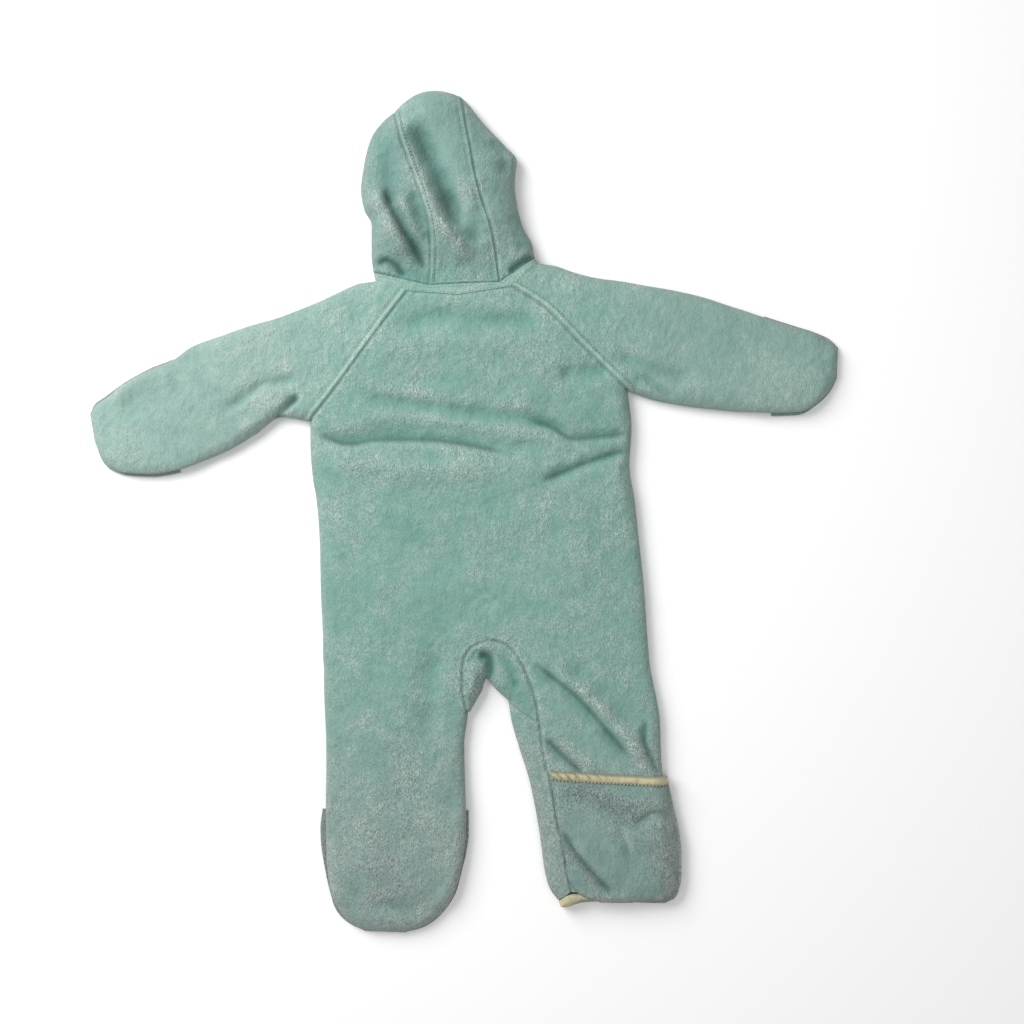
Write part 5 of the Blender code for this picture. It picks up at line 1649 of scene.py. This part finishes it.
@dataclass
class Body:
    """Back with both leg backs, the two fronts and the crotch gusset."""

    gusset_start: float = 0.3
    gusset_tone: float = -0.06

    def build(self, shop: Workshop) -> list[bpy.types.Object]:
        """Builds the body's panels."""
        return [self.back(shop), self.front_left(shop), self.front_right(shop), self.gusset(shop)]

    def back(self, shop: Workshop) -> bpy.types.Object:
        """Centre back with both leg backs: two halves that meet on the centre back line.

        Args:
            shop: makes the pieces and holds the finishes.

        Returns:
            The piece.
        """
        shared = stations((SIDE_LEFT, CENTRE_LEFT, SIDE_RIGHT), 0, CROTCH, (UNDERARM,))
        left_leg = stations((SIDE_LEFT, CENTRE_LEFT), CROTCH, LEFT_END, (LEFT_TIP,))
        right_leg = stations((INSEAM_RIGHT, SIDE_RIGHT), CROTCH, RIGHT_END, (RIGHT_EDGE, RIGHT_TIP))
        left = Leaf(SIDE_LEFT, CENTRE_LEFT, np.concatenate([shared, left_leg[1:]]), Side.UPPER,
                    ("flush", UNDERARM - 0.1, "open"), ("flush", LEFT_TIP - 0.1, "open"), ("flush", "open"))
        right = Leaf(INSEAM_RIGHT, SIDE_RIGHT, np.concatenate([shared, right_leg[1:]]), Side.UPPER, "flush",
                     ("flush", UNDERARM - 0.1, "open"))
        seams = (
            run_of(SIDE_LEFT, 0, UNDERARM), run_of(SIDE_RIGHT, 0, UNDERARM),
            run_of(CENTRE_LEFT, CROTCH, LEFT_TIP), run_of(INSEAM_RIGHT, CROTCH, RIGHT_END),
            np.array(NECK_LOWER[1:4], float),
        )
        return shop.cloth("plush_back", "back_panel", [left, right], "plush", seams=seams)

    def front_left(self, shop: Workshop) -> bpy.types.Object:
        """Left front with the left leg's front, on the table.

        Args:
            shop: makes the pieces and holds the finishes.

        Returns:
            The piece.
        """
        slot, gap = ZIP_SLOT / 2, GAP / 2
        inner = joined(polyline((
            (0, ZIP_X - slot, FRONT_NECK_LOW), (ZIP_END_PLACE, ZIP_X - slot, ZIP_FOOT),
            (SEAM_START_PLACE, ZIP_X - gap, FRONT_SEAM_TOP),
            (FRONT_APEX_PLACE, FRONT_APEX[0] - gap, FRONT_APEX[1]),
            (LEFT_TIP, *BACK_LEFT[LEFT_TIP][2:]),
        )), CENTRE_LEFT, LEFT_TIP)
        outer = joined(front_raglan("left", BACK_LEFT[UNDERARM][:2]), SIDE_LEFT, UNDERARM)
        rows = stations((outer, inner), 0, LEFT_FRONT_END, (*FRONT_STOPS, LEFT_TIP))
        leaf = Leaf(outer, inner, rows, Side.LOWER, ("flush", UNDERARM - 0.1, "open"),
                    ("flush", LEFT_TIP - 0.1, "open"))
        return shop.cloth("plush_front_left", "front_left", [leaf], "plush")

    def front_right(self, shop: Workshop) -> bpy.types.Object:
        """Right front, which wraps over the right leg's inner edge to the inseam.

        Args:
            shop: makes the pieces and holds the finishes.

        Returns:
            The piece.
        """
        slot, gap = ZIP_SLOT / 2, GAP / 2
        inner = joined(polyline((
            (0, ZIP_X + slot, FRONT_NECK_LOW), (ZIP_END_PLACE, ZIP_X + slot, ZIP_FOOT),
            (SEAM_START_PLACE, ZIP_X + gap, FRONT_SEAM_TOP),
            (FRONT_APEX_PLACE, FRONT_APEX[0] + gap, FRONT_APEX[1]),
            (RIGHT_EDGE, *INNER_RIGHT[0]),
        )), lambda places: INNER_EDGE(places - RIGHT_EDGE), RIGHT_EDGE)
        outer = joined(front_raglan("right", BACK_RIGHT[UNDERARM][2:]),
                       lambda places: SIDE_RIGHT(np.interp(places, (0, 19, 21), (0, 19, 20))), UNDERARM)

        def fold(places: np.ndarray) -> np.ndarray:
            """The leg's inner outline, in step with the inseam's places."""
            return INNER_EDGE(np.interp(places, *STRIP_ROWS))

        strip = stations((fold, INSEAM_RIGHT), RIGHT_TIP, RIGHT_END, STRIP_ROWS[0][1:-1])
        rows = stations((outer, inner), 0, RIGHT_EDGE, FRONT_STOPS)
        rows = np.concatenate([rows[:-1], RIGHT_EDGE + np.interp(strip, *STRIP_ROWS)])
        under = Leaf(inner, outer, rows, Side.LOWER, ("flush", RIGHT_EDGE - 0.1, "fold"),
                     ("flush", UNDERARM - 0.1, "open"))
        over = Leaf(fold, INSEAM_RIGHT, strip, Side.UPPER, "fold", "seam")
        seams = (run_of(INSEAM_RIGHT, RIGHT_TIP, RIGHT_END), run_of(FREE_EDGE, GUSSET_OUTLINE, GUSSET_END))
        return shop.cloth("plush_front_right", "front_right", [under, over], "plush",
                          seams=seams)

    def gusset(self, shop: Workshop) -> bpy.types.Object:
        """Pointed oval folded over the crotch edge, with a smaller half on the front.

        Args:
            shop: makes the pieces and holds the finishes.

        Returns:
            The piece.
        """
        turn = LEFT_TIP - CROTCH

        def arch(places: np.ndarray) -> np.ndarray:
            """Seam between the gusset and the back, in step with the gusset's free edge.

            Args:
                places: places along the gusset.

            Returns:
                Their x and y, in mm.
            """
            places = np.asarray(places, float)
            left = CENTRE_LEFT(LEFT_TIP - np.minimum(places, turn))
            right = INSEAM_RIGHT(CROTCH + np.maximum(places - turn, 0))
            return np.where(places[:, None] <= turn, left, right)

        rows = stations((FREE_EDGE, arch), self.gusset_start, GUSSET_END, (1, GUSSET_APEX, 6, GUSSET_OUTLINE))
        over = Leaf(FREE_EDGE, arch, rows, Side.UPPER, ("fold", GUSSET_OUTLINE, "flush"), "seam")
        front = polyline((
            (0, *GUSSET_FREE[0]), (GUSSET_APEX, *FRONT_APEX), (GUSSET_OUTLINE, *GUSSET_FREE[GUSSET_OUTLINE]),
        ))
        below = rows[rows < GUSSET_OUTLINE - 1]
        under = Leaf(FREE_EDGE, front, below, Side.LOWER, "fold", "seam")
        seams = (run_of(arch, self.gusset_start, GUSSET_END),)
        return shop.cloth("plush_gusset", "crotch_gusset", [over, under], "plush",
                          self.gusset_tone, seams)


def front_raglan(side: str, underarm: Sequence[float]) -> Curve:
    """The straight raglan seam of a front, over the first rows.

    Args:
        side: the side seam's edge.
        underarm: where the raglan seam ends.

    Returns:
        The edge.
    """
    x = FRONT_RAGLAN_X[side]
    start = NECK_LOWER[0] if side == "left" else NECK_LOWER[-1]
    zip_edge = ZIP_X - ZIP_SLOT / 2 if side == "left" else ZIP_X + ZIP_SLOT / 2
    share = (x - start[0]) / (zip_edge - start[0])
    top = start[1] + share * (FRONT_NECK_LOW - start[1])
    return polyline(((0, x, top), (UNDERARM, *underarm)))


@dataclass
class Sleeve:
    """Raglan sleeve in one cut round the arm, with its mitt flap and binding on the table side."""

    side: str
    arm: Curve
    under: Curve
    rows: Sequence
    pouch: Pouch
    tone: float
    tuck: float = 3.0
    tape_rows: int = 6

    def build(self, shop: Workshop) -> list[bpy.types.Object]:
        """Builds the sleeve, its mitt and its binding.

        Args:
            shop: makes the pieces and holds the finishes.

        Returns:
            The three pieces.
        """
        last = len(self.rows) - 1
        front = joined(front_raglan(self.side, self.rows[UNDERARM][2:]), self.under, UNDERARM)
        places = stations((self.arm, self.under), 0, last, (UNDERARM, MITT_EDGE, CUFF))
        over = Leaf(self.arm, self.under, places, Side.UPPER, ("fold", CUFF, "open"),
                    ("seam", UNDERARM, "open"), ("flush", "open"))
        below = Leaf(self.arm, front, places[places <= CUFF], Side.LOWER, "fold", ("seam", UNDERARM, "open"))
        seams = (run_of(self.under, 0, UNDERARM),)
        sleeve = shop.cloth(f"plush_sleeve_{self.side}", f"sleeve_{self.side}", [over, below], "sleeve",
                            self.tone, seams, SLEEVE_BAND)
        mitt_rows = places[places >= MITT_EDGE]
        mitt = Leaf(self.arm, self.under, mitt_rows, Side.TABLE, "proud", "proud")
        flap = shop.cloth(f"plush_mitt_{self.side}", f"mitt_{self.side}", [mitt], "sleeve",
                          self.tone)
        back = -np.array([self.pouch.dx, self.pouch.dy])
        corner_a, corner_b = self.arm([MITT_EDGE])[0], self.under([MITT_EDGE])[0] + (0, self.tuck)
        tape = Leaf(lambda along: corner_a + np.outer(along, back),
                    lambda along: corner_b + np.outer(along, back),
                    np.linspace(GAP, GAP + BINDING_WIDTH, self.tape_rows), Side.TABLE,
                    "proud" if self.side == "left" else "flush", "flush")
        binding = shop.cloth(f"binding_mitt_{self.side}", f"mitt_binding_{self.side}", [tape], "binding")
        return [sleeve, flap, binding]


@dataclass
class Hood:
    """Three-piece hood, each piece wrapped under to the face opening, and the neck band."""

    tones: dict[str, float] = field(default_factory=lambda: {"left": -0.15, "right": -0.07, "centre": -0.08})
    band_tone: float = 0.12
    columns: int = 40
    # Rows close together where the strip turns over the crown.
    crown_rows: tuple[float, ...] = (8.9, 8.94, 8.97, 8.99, 9.0)
    turn_rows: tuple[float, ...] = (0, 0.02, 0.05, 0.1, 0.2, 0.35, 0.55, 0.78, 1)

    def build(self, shop: Workshop) -> list[bpy.types.Object]:
        """Builds the hood's sides, its centre strip and the neck band.

        Args:
            shop: makes the pieces and holds the finishes.

        Returns:
            The four pieces.
        """
        sides = [
            self.side_piece(shop, "left", HOOD_EDGE_LEFT, HOOD_SEAM_LEFT, rail(OPENING_LEFT)),
            self.side_piece(shop, "right", HOOD_EDGE_RIGHT, HOOD_SEAM_RIGHT, rail(OPENING_RIGHT)),
        ]
        return [*sides, self.centre(shop), self.band(shop)]

    def side_piece(self, shop: Workshop, side: str, edge: Curve, seam: Curve,
                   opening: Curve) -> bpy.types.Object:
        """One side of the hood.

        Args:
            shop: makes the pieces and holds the finishes.
            side: the hood's side, by name.
            edge: the outer edge.
            seam: the seam with the centre strip.
            opening: the edge of the face opening.

        Returns:
            The piece.
        """
        rows = stations((edge, seam), 0, HOOD_TIP)
        over = Leaf(edge, seam, rows, Side.UPPER, "fold", "seam")
        under = Leaf(edge, opening, np.append(rows, HOOD_TURN), Side.LOWER, "fold", "flush")
        neck = np.array(NECK_UPPER[:2] if side == "left" else NECK_UPPER[2:], float)
        seams = (run_of(seam, 0, HOOD_END), neck)
        return shop.cloth(f"plush_hood_{side}", f"hood_side_{side}", [over, under], "plush",
                          self.tones[side], seams)

    def centre(self, shop: Workshop) -> bpy.types.Object:
        """The centre strip, from the neck over the crown to the face edge.

        Args:
            shop: makes the pieces and holds the finishes.

        Returns:
            The piece.
        """
        rows = stations((HOOD_SEAM_LEFT, HOOD_SEAM_RIGHT), 0, HOOD_END)
        rows = np.concatenate([rows[rows < self.crown_rows[0] - 0.04], self.crown_rows])
        over = Leaf(HOOD_SEAM_LEFT, HOOD_SEAM_RIGHT, rows, Side.UPPER, "flush", "flush", ("flush", "fold"),
                    CROWN_BOW, self.columns)
        turn_left = polyline(((0, *HOOD_LEFT[-1][:2]), (1, *OPENING_LEFT[-1])))
        turn_right = polyline(((0, *HOOD_RIGHT[-1][:2]), (1, *OPENING_RIGHT[-1])))
        under = Leaf(turn_left, turn_right, np.array(self.turn_rows), Side.LOWER, "flush", "flush",
                     ("fold", "flush"), (CROWN_BOW[-1], 9), self.columns)
        seams = (run_of(HOOD_SEAM_LEFT, 0, HOOD_END), run_of(HOOD_SEAM_RIGHT, 0, HOOD_END),
                 np.array(NECK_UPPER[1:3], float))
        return shop.cloth("plush_hood_centre", "hood_centre", [over, under], "plush",
                          self.tones["centre"], seams, HOOD_BAND)

    def band(self, shop: Workshop) -> bpy.types.Object:
        """Band over the neck seam, carried round both sides of the neck to the zip.

        Args:
            shop: makes the pieces and holds the finishes.

        Returns:
            The piece.
        """
        low = polyline([(i, *point) for i, point in zip((0, 1, 3, 5, 6), NECK_LOWER)])
        high = polyline([(i, *point) for i, point in zip((0, 2, 4, 6), NECK_UPPER)])
        # Rows lie close together where the band turns over at the sides of the neck.
        turn = np.array([0, 0.02, 0.05, 0.1, 0.18])
        rows = np.concatenate([turn, np.linspace(0.3, 5.7, 75), [5.82, 5.9, 5.95, 5.98, 6]])
        leaves = [Leaf(low, high, rows, Side.UPPER, "seam", "seam", ("fold", "fold"), columns=4)]
        rows = np.concatenate([[0, 0.01, 0.023, 0.045, 0.08], np.linspace(0.13, 1, 18)])
        for end, sign in ((0, -1), (-1, 1)):
            edge = ZIP_X + sign * ZIP_SLOT / 2
            front_low = polyline(((0, *NECK_LOWER[end]), (1, edge, FRONT_NECK_LOW)))
            front_high = polyline(((0, *NECK_UPPER[end]), (1, edge, FRONT_NECK_HIGH)))
            leaves.append(Leaf(front_low, front_high, rows, Side.LOWER, "seam", "seam", ("fold", "flush"),
                               columns=4))
        return shop.cloth("plush_neck_band", "neck_band", leaves, "plush", self.band_tone)


@dataclass
class Feet:
    """Both foot pouches with their bindings, and the binding of the right leg's opening."""

    pouch_tone: float = -0.08
    seam_end: float = 6.6
    tuck: float = 3.0
    tape_rows: int = 11
    tape_columns: int = 110
    binding_bulge: float = 2.6
    binding_puckers: float = 1.5
    binding_seam: float = 9.0
    rounding: float = 2.5

    def build(self, shop: Workshop) -> list[bpy.types.Object]:
        """Builds the pouches and bindings.

        Args:
            shop: makes the pieces and holds the finishes.

        Returns:
            The five pieces.
        """
        made = []
        for side, table, level in (("left", POUCH_LEFT, Side.TABLE), ("right", POUCH_RIGHT, Side.OVER)):
            a, b = edge_a(table), edge_b(table)
            folded = level is Side.OVER
            kind_b = "hang" if folded else "flush"
            pouch = Leaf(a, b, stations((a, b), 0, len(table) - 1), level, "flush", kind_b)
            made.append(shop.cloth(f"plush_pouch_{side}", f"foot_pouch_{side}", [pouch], "plush",
                                   self.pouch_tone,
                                   (run_of(a, 0, self.seam_end),) if folded else ()))
            tuck = np.array([0.0 if folded else self.tuck, 0])
            made.append(self.binding(shop, side, level, kind_b, a([0])[0] + tuck, b([0])[0] - tuck))
        made.append(self.hem(shop))
        return made

    def binding(self, shop: Workshop, side: str, level: Side, kind_b: str, corner_a: np.ndarray,
                corner_b: np.ndarray) -> bpy.types.Object:
        """Binding over a pouch's edge, round and puckered where it lies on the back of the leg.

        Args:
            shop: makes the pieces and holds the finishes.
            side: the pouch's side.
            level: the surface that the pouch follows.
            kind_b: the kind of its outer edge.
            corner_a: its inner corner.
            corner_b: its outer corner.

        Returns:
            The piece.
        """
        folded = level is Side.OVER

        def inner(along: np.ndarray) -> np.ndarray:
            """The tape's inner end, at these heights over the pouch's edge."""
            return corner_a + np.outer(along, (0.0, 1.0))

        def outer(along: np.ndarray) -> np.ndarray:
            """The tape's outer end, rounded off at the top and the bottom."""
            cut = (along / (self.binding_seam / 2) - 1) ** 4
            return corner_b + np.outer(along, (0.0, 1.0)) - np.outer(cut, (self.rounding, 0.0))

        rows = np.linspace(GAP, GAP + (WIDE_BINDING if folded else BINDING_WIDTH), self.tape_rows)
        tape = Leaf(inner, outer, rows, level, "flush", kind_b, bulge=self.binding_bulge if folded else 0.0,
                    puckers=self.binding_puckers, columns=self.tape_columns if folded else 0)
        # Its two long edges are given as seams, so that the binding's colour gets painted shade along them,
        # for its round shape.
        low = np.array([corner_a, corner_b])
        return shop.cloth(f"binding_foot_{side}", f"foot_binding_{side}", [tape], "binding",
                          seams=(low, low + (0, self.binding_seam)) if folded else ())

    def hem(self, shop: Workshop) -> bpy.types.Object:
        """Binding round the right leg's opening, showing a loop at the inner corner.

        Args:
            shop: makes the pieces and holds the finishes.

        Returns:
            The piece.
        """
        inner, corner = HEM_RIGHT[-1], HEM_RIGHT[-2]
        lower_top = polyline(((0, *inner), (1, *HEM_RIGHT[0])))
        lower_bottom = rail((corner, HEM_RIGHT[3], (101.7, -374.3), HEM_RIGHT[2], HEM_RIGHT[1]))
        upper_top = rail((
            inner, (96.5, -362.8), (103.4, -361.6), (111.9, -362), (123.9, -365.4), (134, -367.6),
        ))
        upper_bottom = rail((
            corner, (97, -374.4), (105, -371), (109.5, -368.2), (118, -366.9), (132.4, -368.4),
        ))
        below, above = np.linspace(0, 1, 40) ** 1.5, np.linspace(0, 1, 30) ** 1.2
        leaves = [
            Leaf(lower_top, lambda places: lower_bottom(places * 4), below, Side.LOWER, "seam", "flush",
                 ("fold", "flush"), columns=5, bulge=-0.8, bulge_across=True),
            Leaf(lambda places: upper_top(places * 5), lambda places: upper_bottom(places * 5), above,
                 Side.UPPER, "seam", "flush", ("fold", "flush"), columns=7, bulge=2.4, bulge_across=True,
                 puckers=0.7),
        ]
        # The slit between the lips is given as a seam, so that the binding gets painted shade along it.
        slit = run_of(upper_bottom, 1.6, 5)
        return shop.cloth("binding_leg_hem", "leg_hem_binding_right", leaves, "binding",
                          seams=(slit,))


@dataclass
class Zip:
    """Closed zip down the centre front: a woven tape, a row of meshed teeth, a slider and its pull."""

    tape_width: float = 24.0
    tape_thick: float = 0.8
    tape_low: float = 5.5
    foot: float = -47.0
    head: float = 182.6
    tooth: tuple[float, float, float] = (3.1, 0.95, 1.1)
    pitch: float = 2.0
    first: float = -41.5

    def build(self, shop: Workshop) -> list[bpy.types.Object]:
        """Builds the tape and the teeth, and gives the slider and pull their enamel.

        Args:
            shop: makes the pieces and holds the finishes.

        Returns:
            The pieces.
        """
        made = [self.tape(shop), self.teeth(shop)]
        for cad_node in ("zip_slider", "zip_pull"):
            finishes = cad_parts[cad_node].data.materials
            finishes.clear()
            finishes.append(shop.finishes["enamel"])
        return made

    def tape(self, shop: Workshop) -> bpy.types.Object:
        """The two halves of the tape, each with a cord along the teeth.

        Args:
            shop: makes the pieces and holds the finishes.

        Returns:
            The piece.
        """
        bm = bmesh.new()
        half, length = self.tape_width / 2, self.head - self.foot
        for sign in (-1, 1):
            block(bm, (sign * (half / 2 + 0.1), 0, 0), (half - 0.2, length, self.tape_thick), 0.2)
            block(bm, (sign * 2.6, 0, -0.5), (1.0, length, 0.7), 0.25)
        middle = self.tape_low + self.tape_thick / 2
        place(bm, (ZIP_X, (self.foot + self.head) / 2, middle))
        return shop.piece("zip_tape_woven", bm, "tape", "woven_zip_tape", "zip_tape")

    def teeth(self, shop: Workshop) -> bpy.types.Object:
        """Moulded teeth that mesh on the centre line, turn about from either side.

        Args:
            shop: makes the pieces and holds the finishes.

        Returns:
            The piece.
        """
        bm = bmesh.new()
        count = int((self.head - 8 - self.first) / self.pitch)
        for index in range(count):
            side = -1 if index % 2 else 1
            block(bm, (side * 0.75, index * self.pitch, 0), self.tooth, 0.25)
        place(bm, (ZIP_X, self.first, self.tape_low - self.tooth[2] / 2 + 0.1))
        return shop.piece("zip_teeth", bm, "tape", "woven_zip_tape")


@dataclass
class Threads:
    """Topstitching: short stitches of green thread sunk in the pile, and of cream thread on the bindings."""

    pitch: float = 3.4
    length: float = 2.3
    thick: float = 0.75
    neck: float = 1.6
    sunk: float = 0.35
    proud: float = 1.3

    def build(self, shop: Workshop) -> list[bpy.types.Object]:
        """Builds the green and the cream stitches.

        Args:
            shop: makes the pieces and holds the finishes.

        Returns:
            Both pieces.
        """
        green = [
            (offset(run_of(SIDE_LEFT, 0.1, UNDERARM), -SLEEVE_BAND), Side.UPPER),
            (offset(run_of(SIDE_RIGHT, 0.1, UNDERARM), SLEEVE_BAND), Side.UPPER),
            (offset(run_of(HOOD_SEAM_LEFT, 0.1, 8.6), -HOOD_BAND), Side.UPPER),
            (offset(run_of(HOOD_SEAM_RIGHT, 0.1, 8.6), HOOD_BAND), Side.UPPER),
            (offset(np.array(NECK_LOWER, float), self.neck), Side.UPPER),
            (offset(np.array(NECK_UPPER, float), -self.neck), Side.UPPER),
        ]
        a, b = edge_a(POUCH_RIGHT)([0])[0], edge_b(POUCH_RIGHT)([0])[0]
        cream = [(np.array([a + (1.5, 0.9), b + (-3.0, 0.9)]), Side.OVER)]
        return [
            self.row(shop, "topstitch_green", green, "thread_green", "plush_fleece", self.sunk),
            self.row(shop, "topstitch_cream", cream, "thread_cream", "knit_binding", self.proud),
        ]

    def row(self, shop: Workshop, name: str, runs: Sequence[tuple[np.ndarray, Side]], finish: str, slot: str,
            lift: float) -> bpy.types.Object:
        """Stitches along runs.

        Args:
            name: the piece's name.
            runs: each run's points and the surface that it lies on.
            finish: the thread's finish.
            slot: the record's material slot.
            lift: height of the stitches over that surface.

        Returns:
            The piece.
        """
        bm = bmesh.new()
        for run, side in runs:
            dense = densify(run)
            length = np.concatenate([[0], np.cumsum(np.hypot(*np.diff(dense, axis=0).T))])
            marks = np.arange(self.pitch / 2, length[-1], self.pitch)
            middles = np.stack([np.interp(marks, length, dense[:, axis]) for axis in (0, 1)], axis=-1)
            ahead = np.stack([np.interp(marks + 1, length, dense[:, axis]) for axis in (0, 1)], axis=-1)
            z, z_ahead = (shop.suit.height(side, points) for points in (middles, ahead))
            for (x, y), (dx, dy), low, rise in zip(middles, ahead - middles, z, z_ahead - z):
                heading = Vector((dx, dy, rise)).to_track_quat("X", "Z").to_matrix().to_4x4()
                size = Matrix.Diagonal((self.length / 2, self.thick / 2, self.thick / 2, 1))
                spot = Matrix.Translation((x + SHIFT[0], y + SHIFT[1], low + lift))
                bmesh.ops.create_icosphere(bm, subdivisions=1, radius=1,
                                           matrix=Matrix.Scale(MM, 4) @ spot @ heading @ size)
        return shop.piece(name, bm, finish, slot)


def offset(run: np.ndarray, distance: float) -> np.ndarray:
    """A run moved sideways: to its left where the distance is positive.

    Args:
        run: the run's points.
        distance: how far, in mm.

    Returns:
        The moved run.
    """
    step = np.gradient(run, axis=0)
    left = np.stack([-step[:, 1], step[:, 0]], axis=-1) / np.hypot(*step.T)[:, None]
    return run + distance * left


def block(bm: bmesh.types.BMesh, centre: Sequence[float], size: Sequence[float], bevel: float) -> None:
    """Adds a block with rounded edges.

    Args:
        bm: the mesh.
        centre: the block's centre, in mm.
        size: its lengths along X, Y and Z, in mm.
        bevel: radius of its edges, in mm.
    """
    shape = Matrix.Translation(centre) @ Matrix.Diagonal((*size, 1))
    made = bmesh.ops.create_cube(bm, size=1, matrix=shape)
    edges = list({edge for vert in made["verts"] for edge in vert.link_edges})
    bmesh.ops.bevel(bm, geom=edges, offset=bevel, affect="EDGES", segments=1, profile=0.5, material=-1)


def place(bm: bmesh.types.BMesh, centre: Sequence[float]) -> None:
    """Moves a mesh made in mm about the origin to its place on the suit, in metres."""
    spot = Matrix.Translation((centre[0] + SHIFT[0], centre[1] + SHIFT[1], centre[2]))
    bmesh.ops.transform(bm, matrix=Matrix.Scale(MM, 4) @ spot, verts=bm.verts)


@dataclass
class Studio:
    """Pale floor, soft light and a camera straight above, as the photo has it."""

    camera: tuple[float, float, float] = (0.0455, 0.0005, 1.358)
    lens: float = 50.0
    paper: str = "#fafafa"
    sky: float = 0.36

    def build(self) -> None:
        """Sets up the floor, lights, world and camera."""
        bm = bmesh.new()
        bmesh.ops.create_grid(bm, x_segments=1, y_segments=1, size=4)
        mesh = bpy.data.meshes.new("floor")
        bm.to_mesh(mesh)
        bm.free()
        floor = bpy.data.objects.new("floor", mesh)
        floor.location.z = -0.0002
        bpy.context.scene.collection.objects.link(floor)
        finish, tree, shader = new_material("matt_paper")
        shader.inputs["Base Color"].default_value = linear(self.paper)
        shader.inputs["Roughness"].default_value = 0.9
        mesh.materials.append(finish)
        self.light("key", (-1.15, 0.9, 1.2), 1.3, 41.0)
        self.light("fill", (0.4, -0.4, 2.0), 1.6, 11.0)
        world = bpy.data.worlds.new("studio")
        world.use_nodes = True
        world.node_tree.nodes["Background"].inputs["Color"].default_value = linear("#ffffff")
        world.node_tree.nodes["Background"].inputs["Strength"].default_value = self.sky
        scene = bpy.context.scene
        scene.world = world
        scene.view_settings.view_transform = "Standard"
        camera = bpy.data.cameras.new("camera")
        camera.lens = self.lens
        camera.clip_end = 20
        seat = bpy.data.objects.new("camera", camera)
        seat.location = self.camera
        scene.collection.objects.link(seat)
        scene.camera = seat

    def light(self, name: str, place: tuple[float, float, float], size: float, power: float) -> None:
        """A square area light aimed at the suit.

        Args:
            name: the light's name.
            place: where it stands, in m.
            size: its side, in m.
            power: its power, in W.
        """
        lamp = bpy.data.lights.new(name, "AREA")
        lamp.size = size
        lamp.energy = power
        obj = bpy.data.objects.new(name, lamp)
        obj.location = place
        obj.rotation_euler = (Vector((0, 0, 0)) - Vector(place)).to_track_quat("-Z", "Y").to_euler()
        bpy.context.scene.collection.objects.link(obj)


def main() -> None:
    """Builds the studio, the finishes and the suit's pieces."""
    logging.basicConfig(level=logging.INFO, format="%(message)s")
    Studio().build()
    finishes = {
        "plush": PlushFleece().build(),
        "sleeve": PlushFleece(name="plush_fleece_sleeve", nap_angle=math.radians(78)).build(),
        "binding": KnitBinding().build(),
        "tape": WovenTape().build(),
        "enamel": EnamelledZinc().build(),
        "thread_green": SpunThread("thread_green", "#86aaa0", "#9dbfb4").build(),
        "thread_cream": SpunThread("thread_cream", "#bab294", "#ddd6bd").build(),
    }
    suit = LaidSuit()
    shop = Workshop(suit, finishes)
    groups = (
        Body(),
        # Both sleeves are paler than the back; the left one's extra tone over the right one is painted light,
        # for the key light on that side.
        Sleeve("left", ARM_LEFT, UNDER_LEFT, SLEEVE_LEFT, suit.pouches[0], 0.09),
        Sleeve("right", ARM_RIGHT, UNDER_RIGHT, SLEEVE_RIGHT, suit.pouches[1], 0.03),
        Hood(),
        Feet(),
        Zip(),
        Threads(),
    )
    pieces = {piece.name: piece for group in groups for piece in group.build(shop)}


if __name__ == "__main__":
    main()
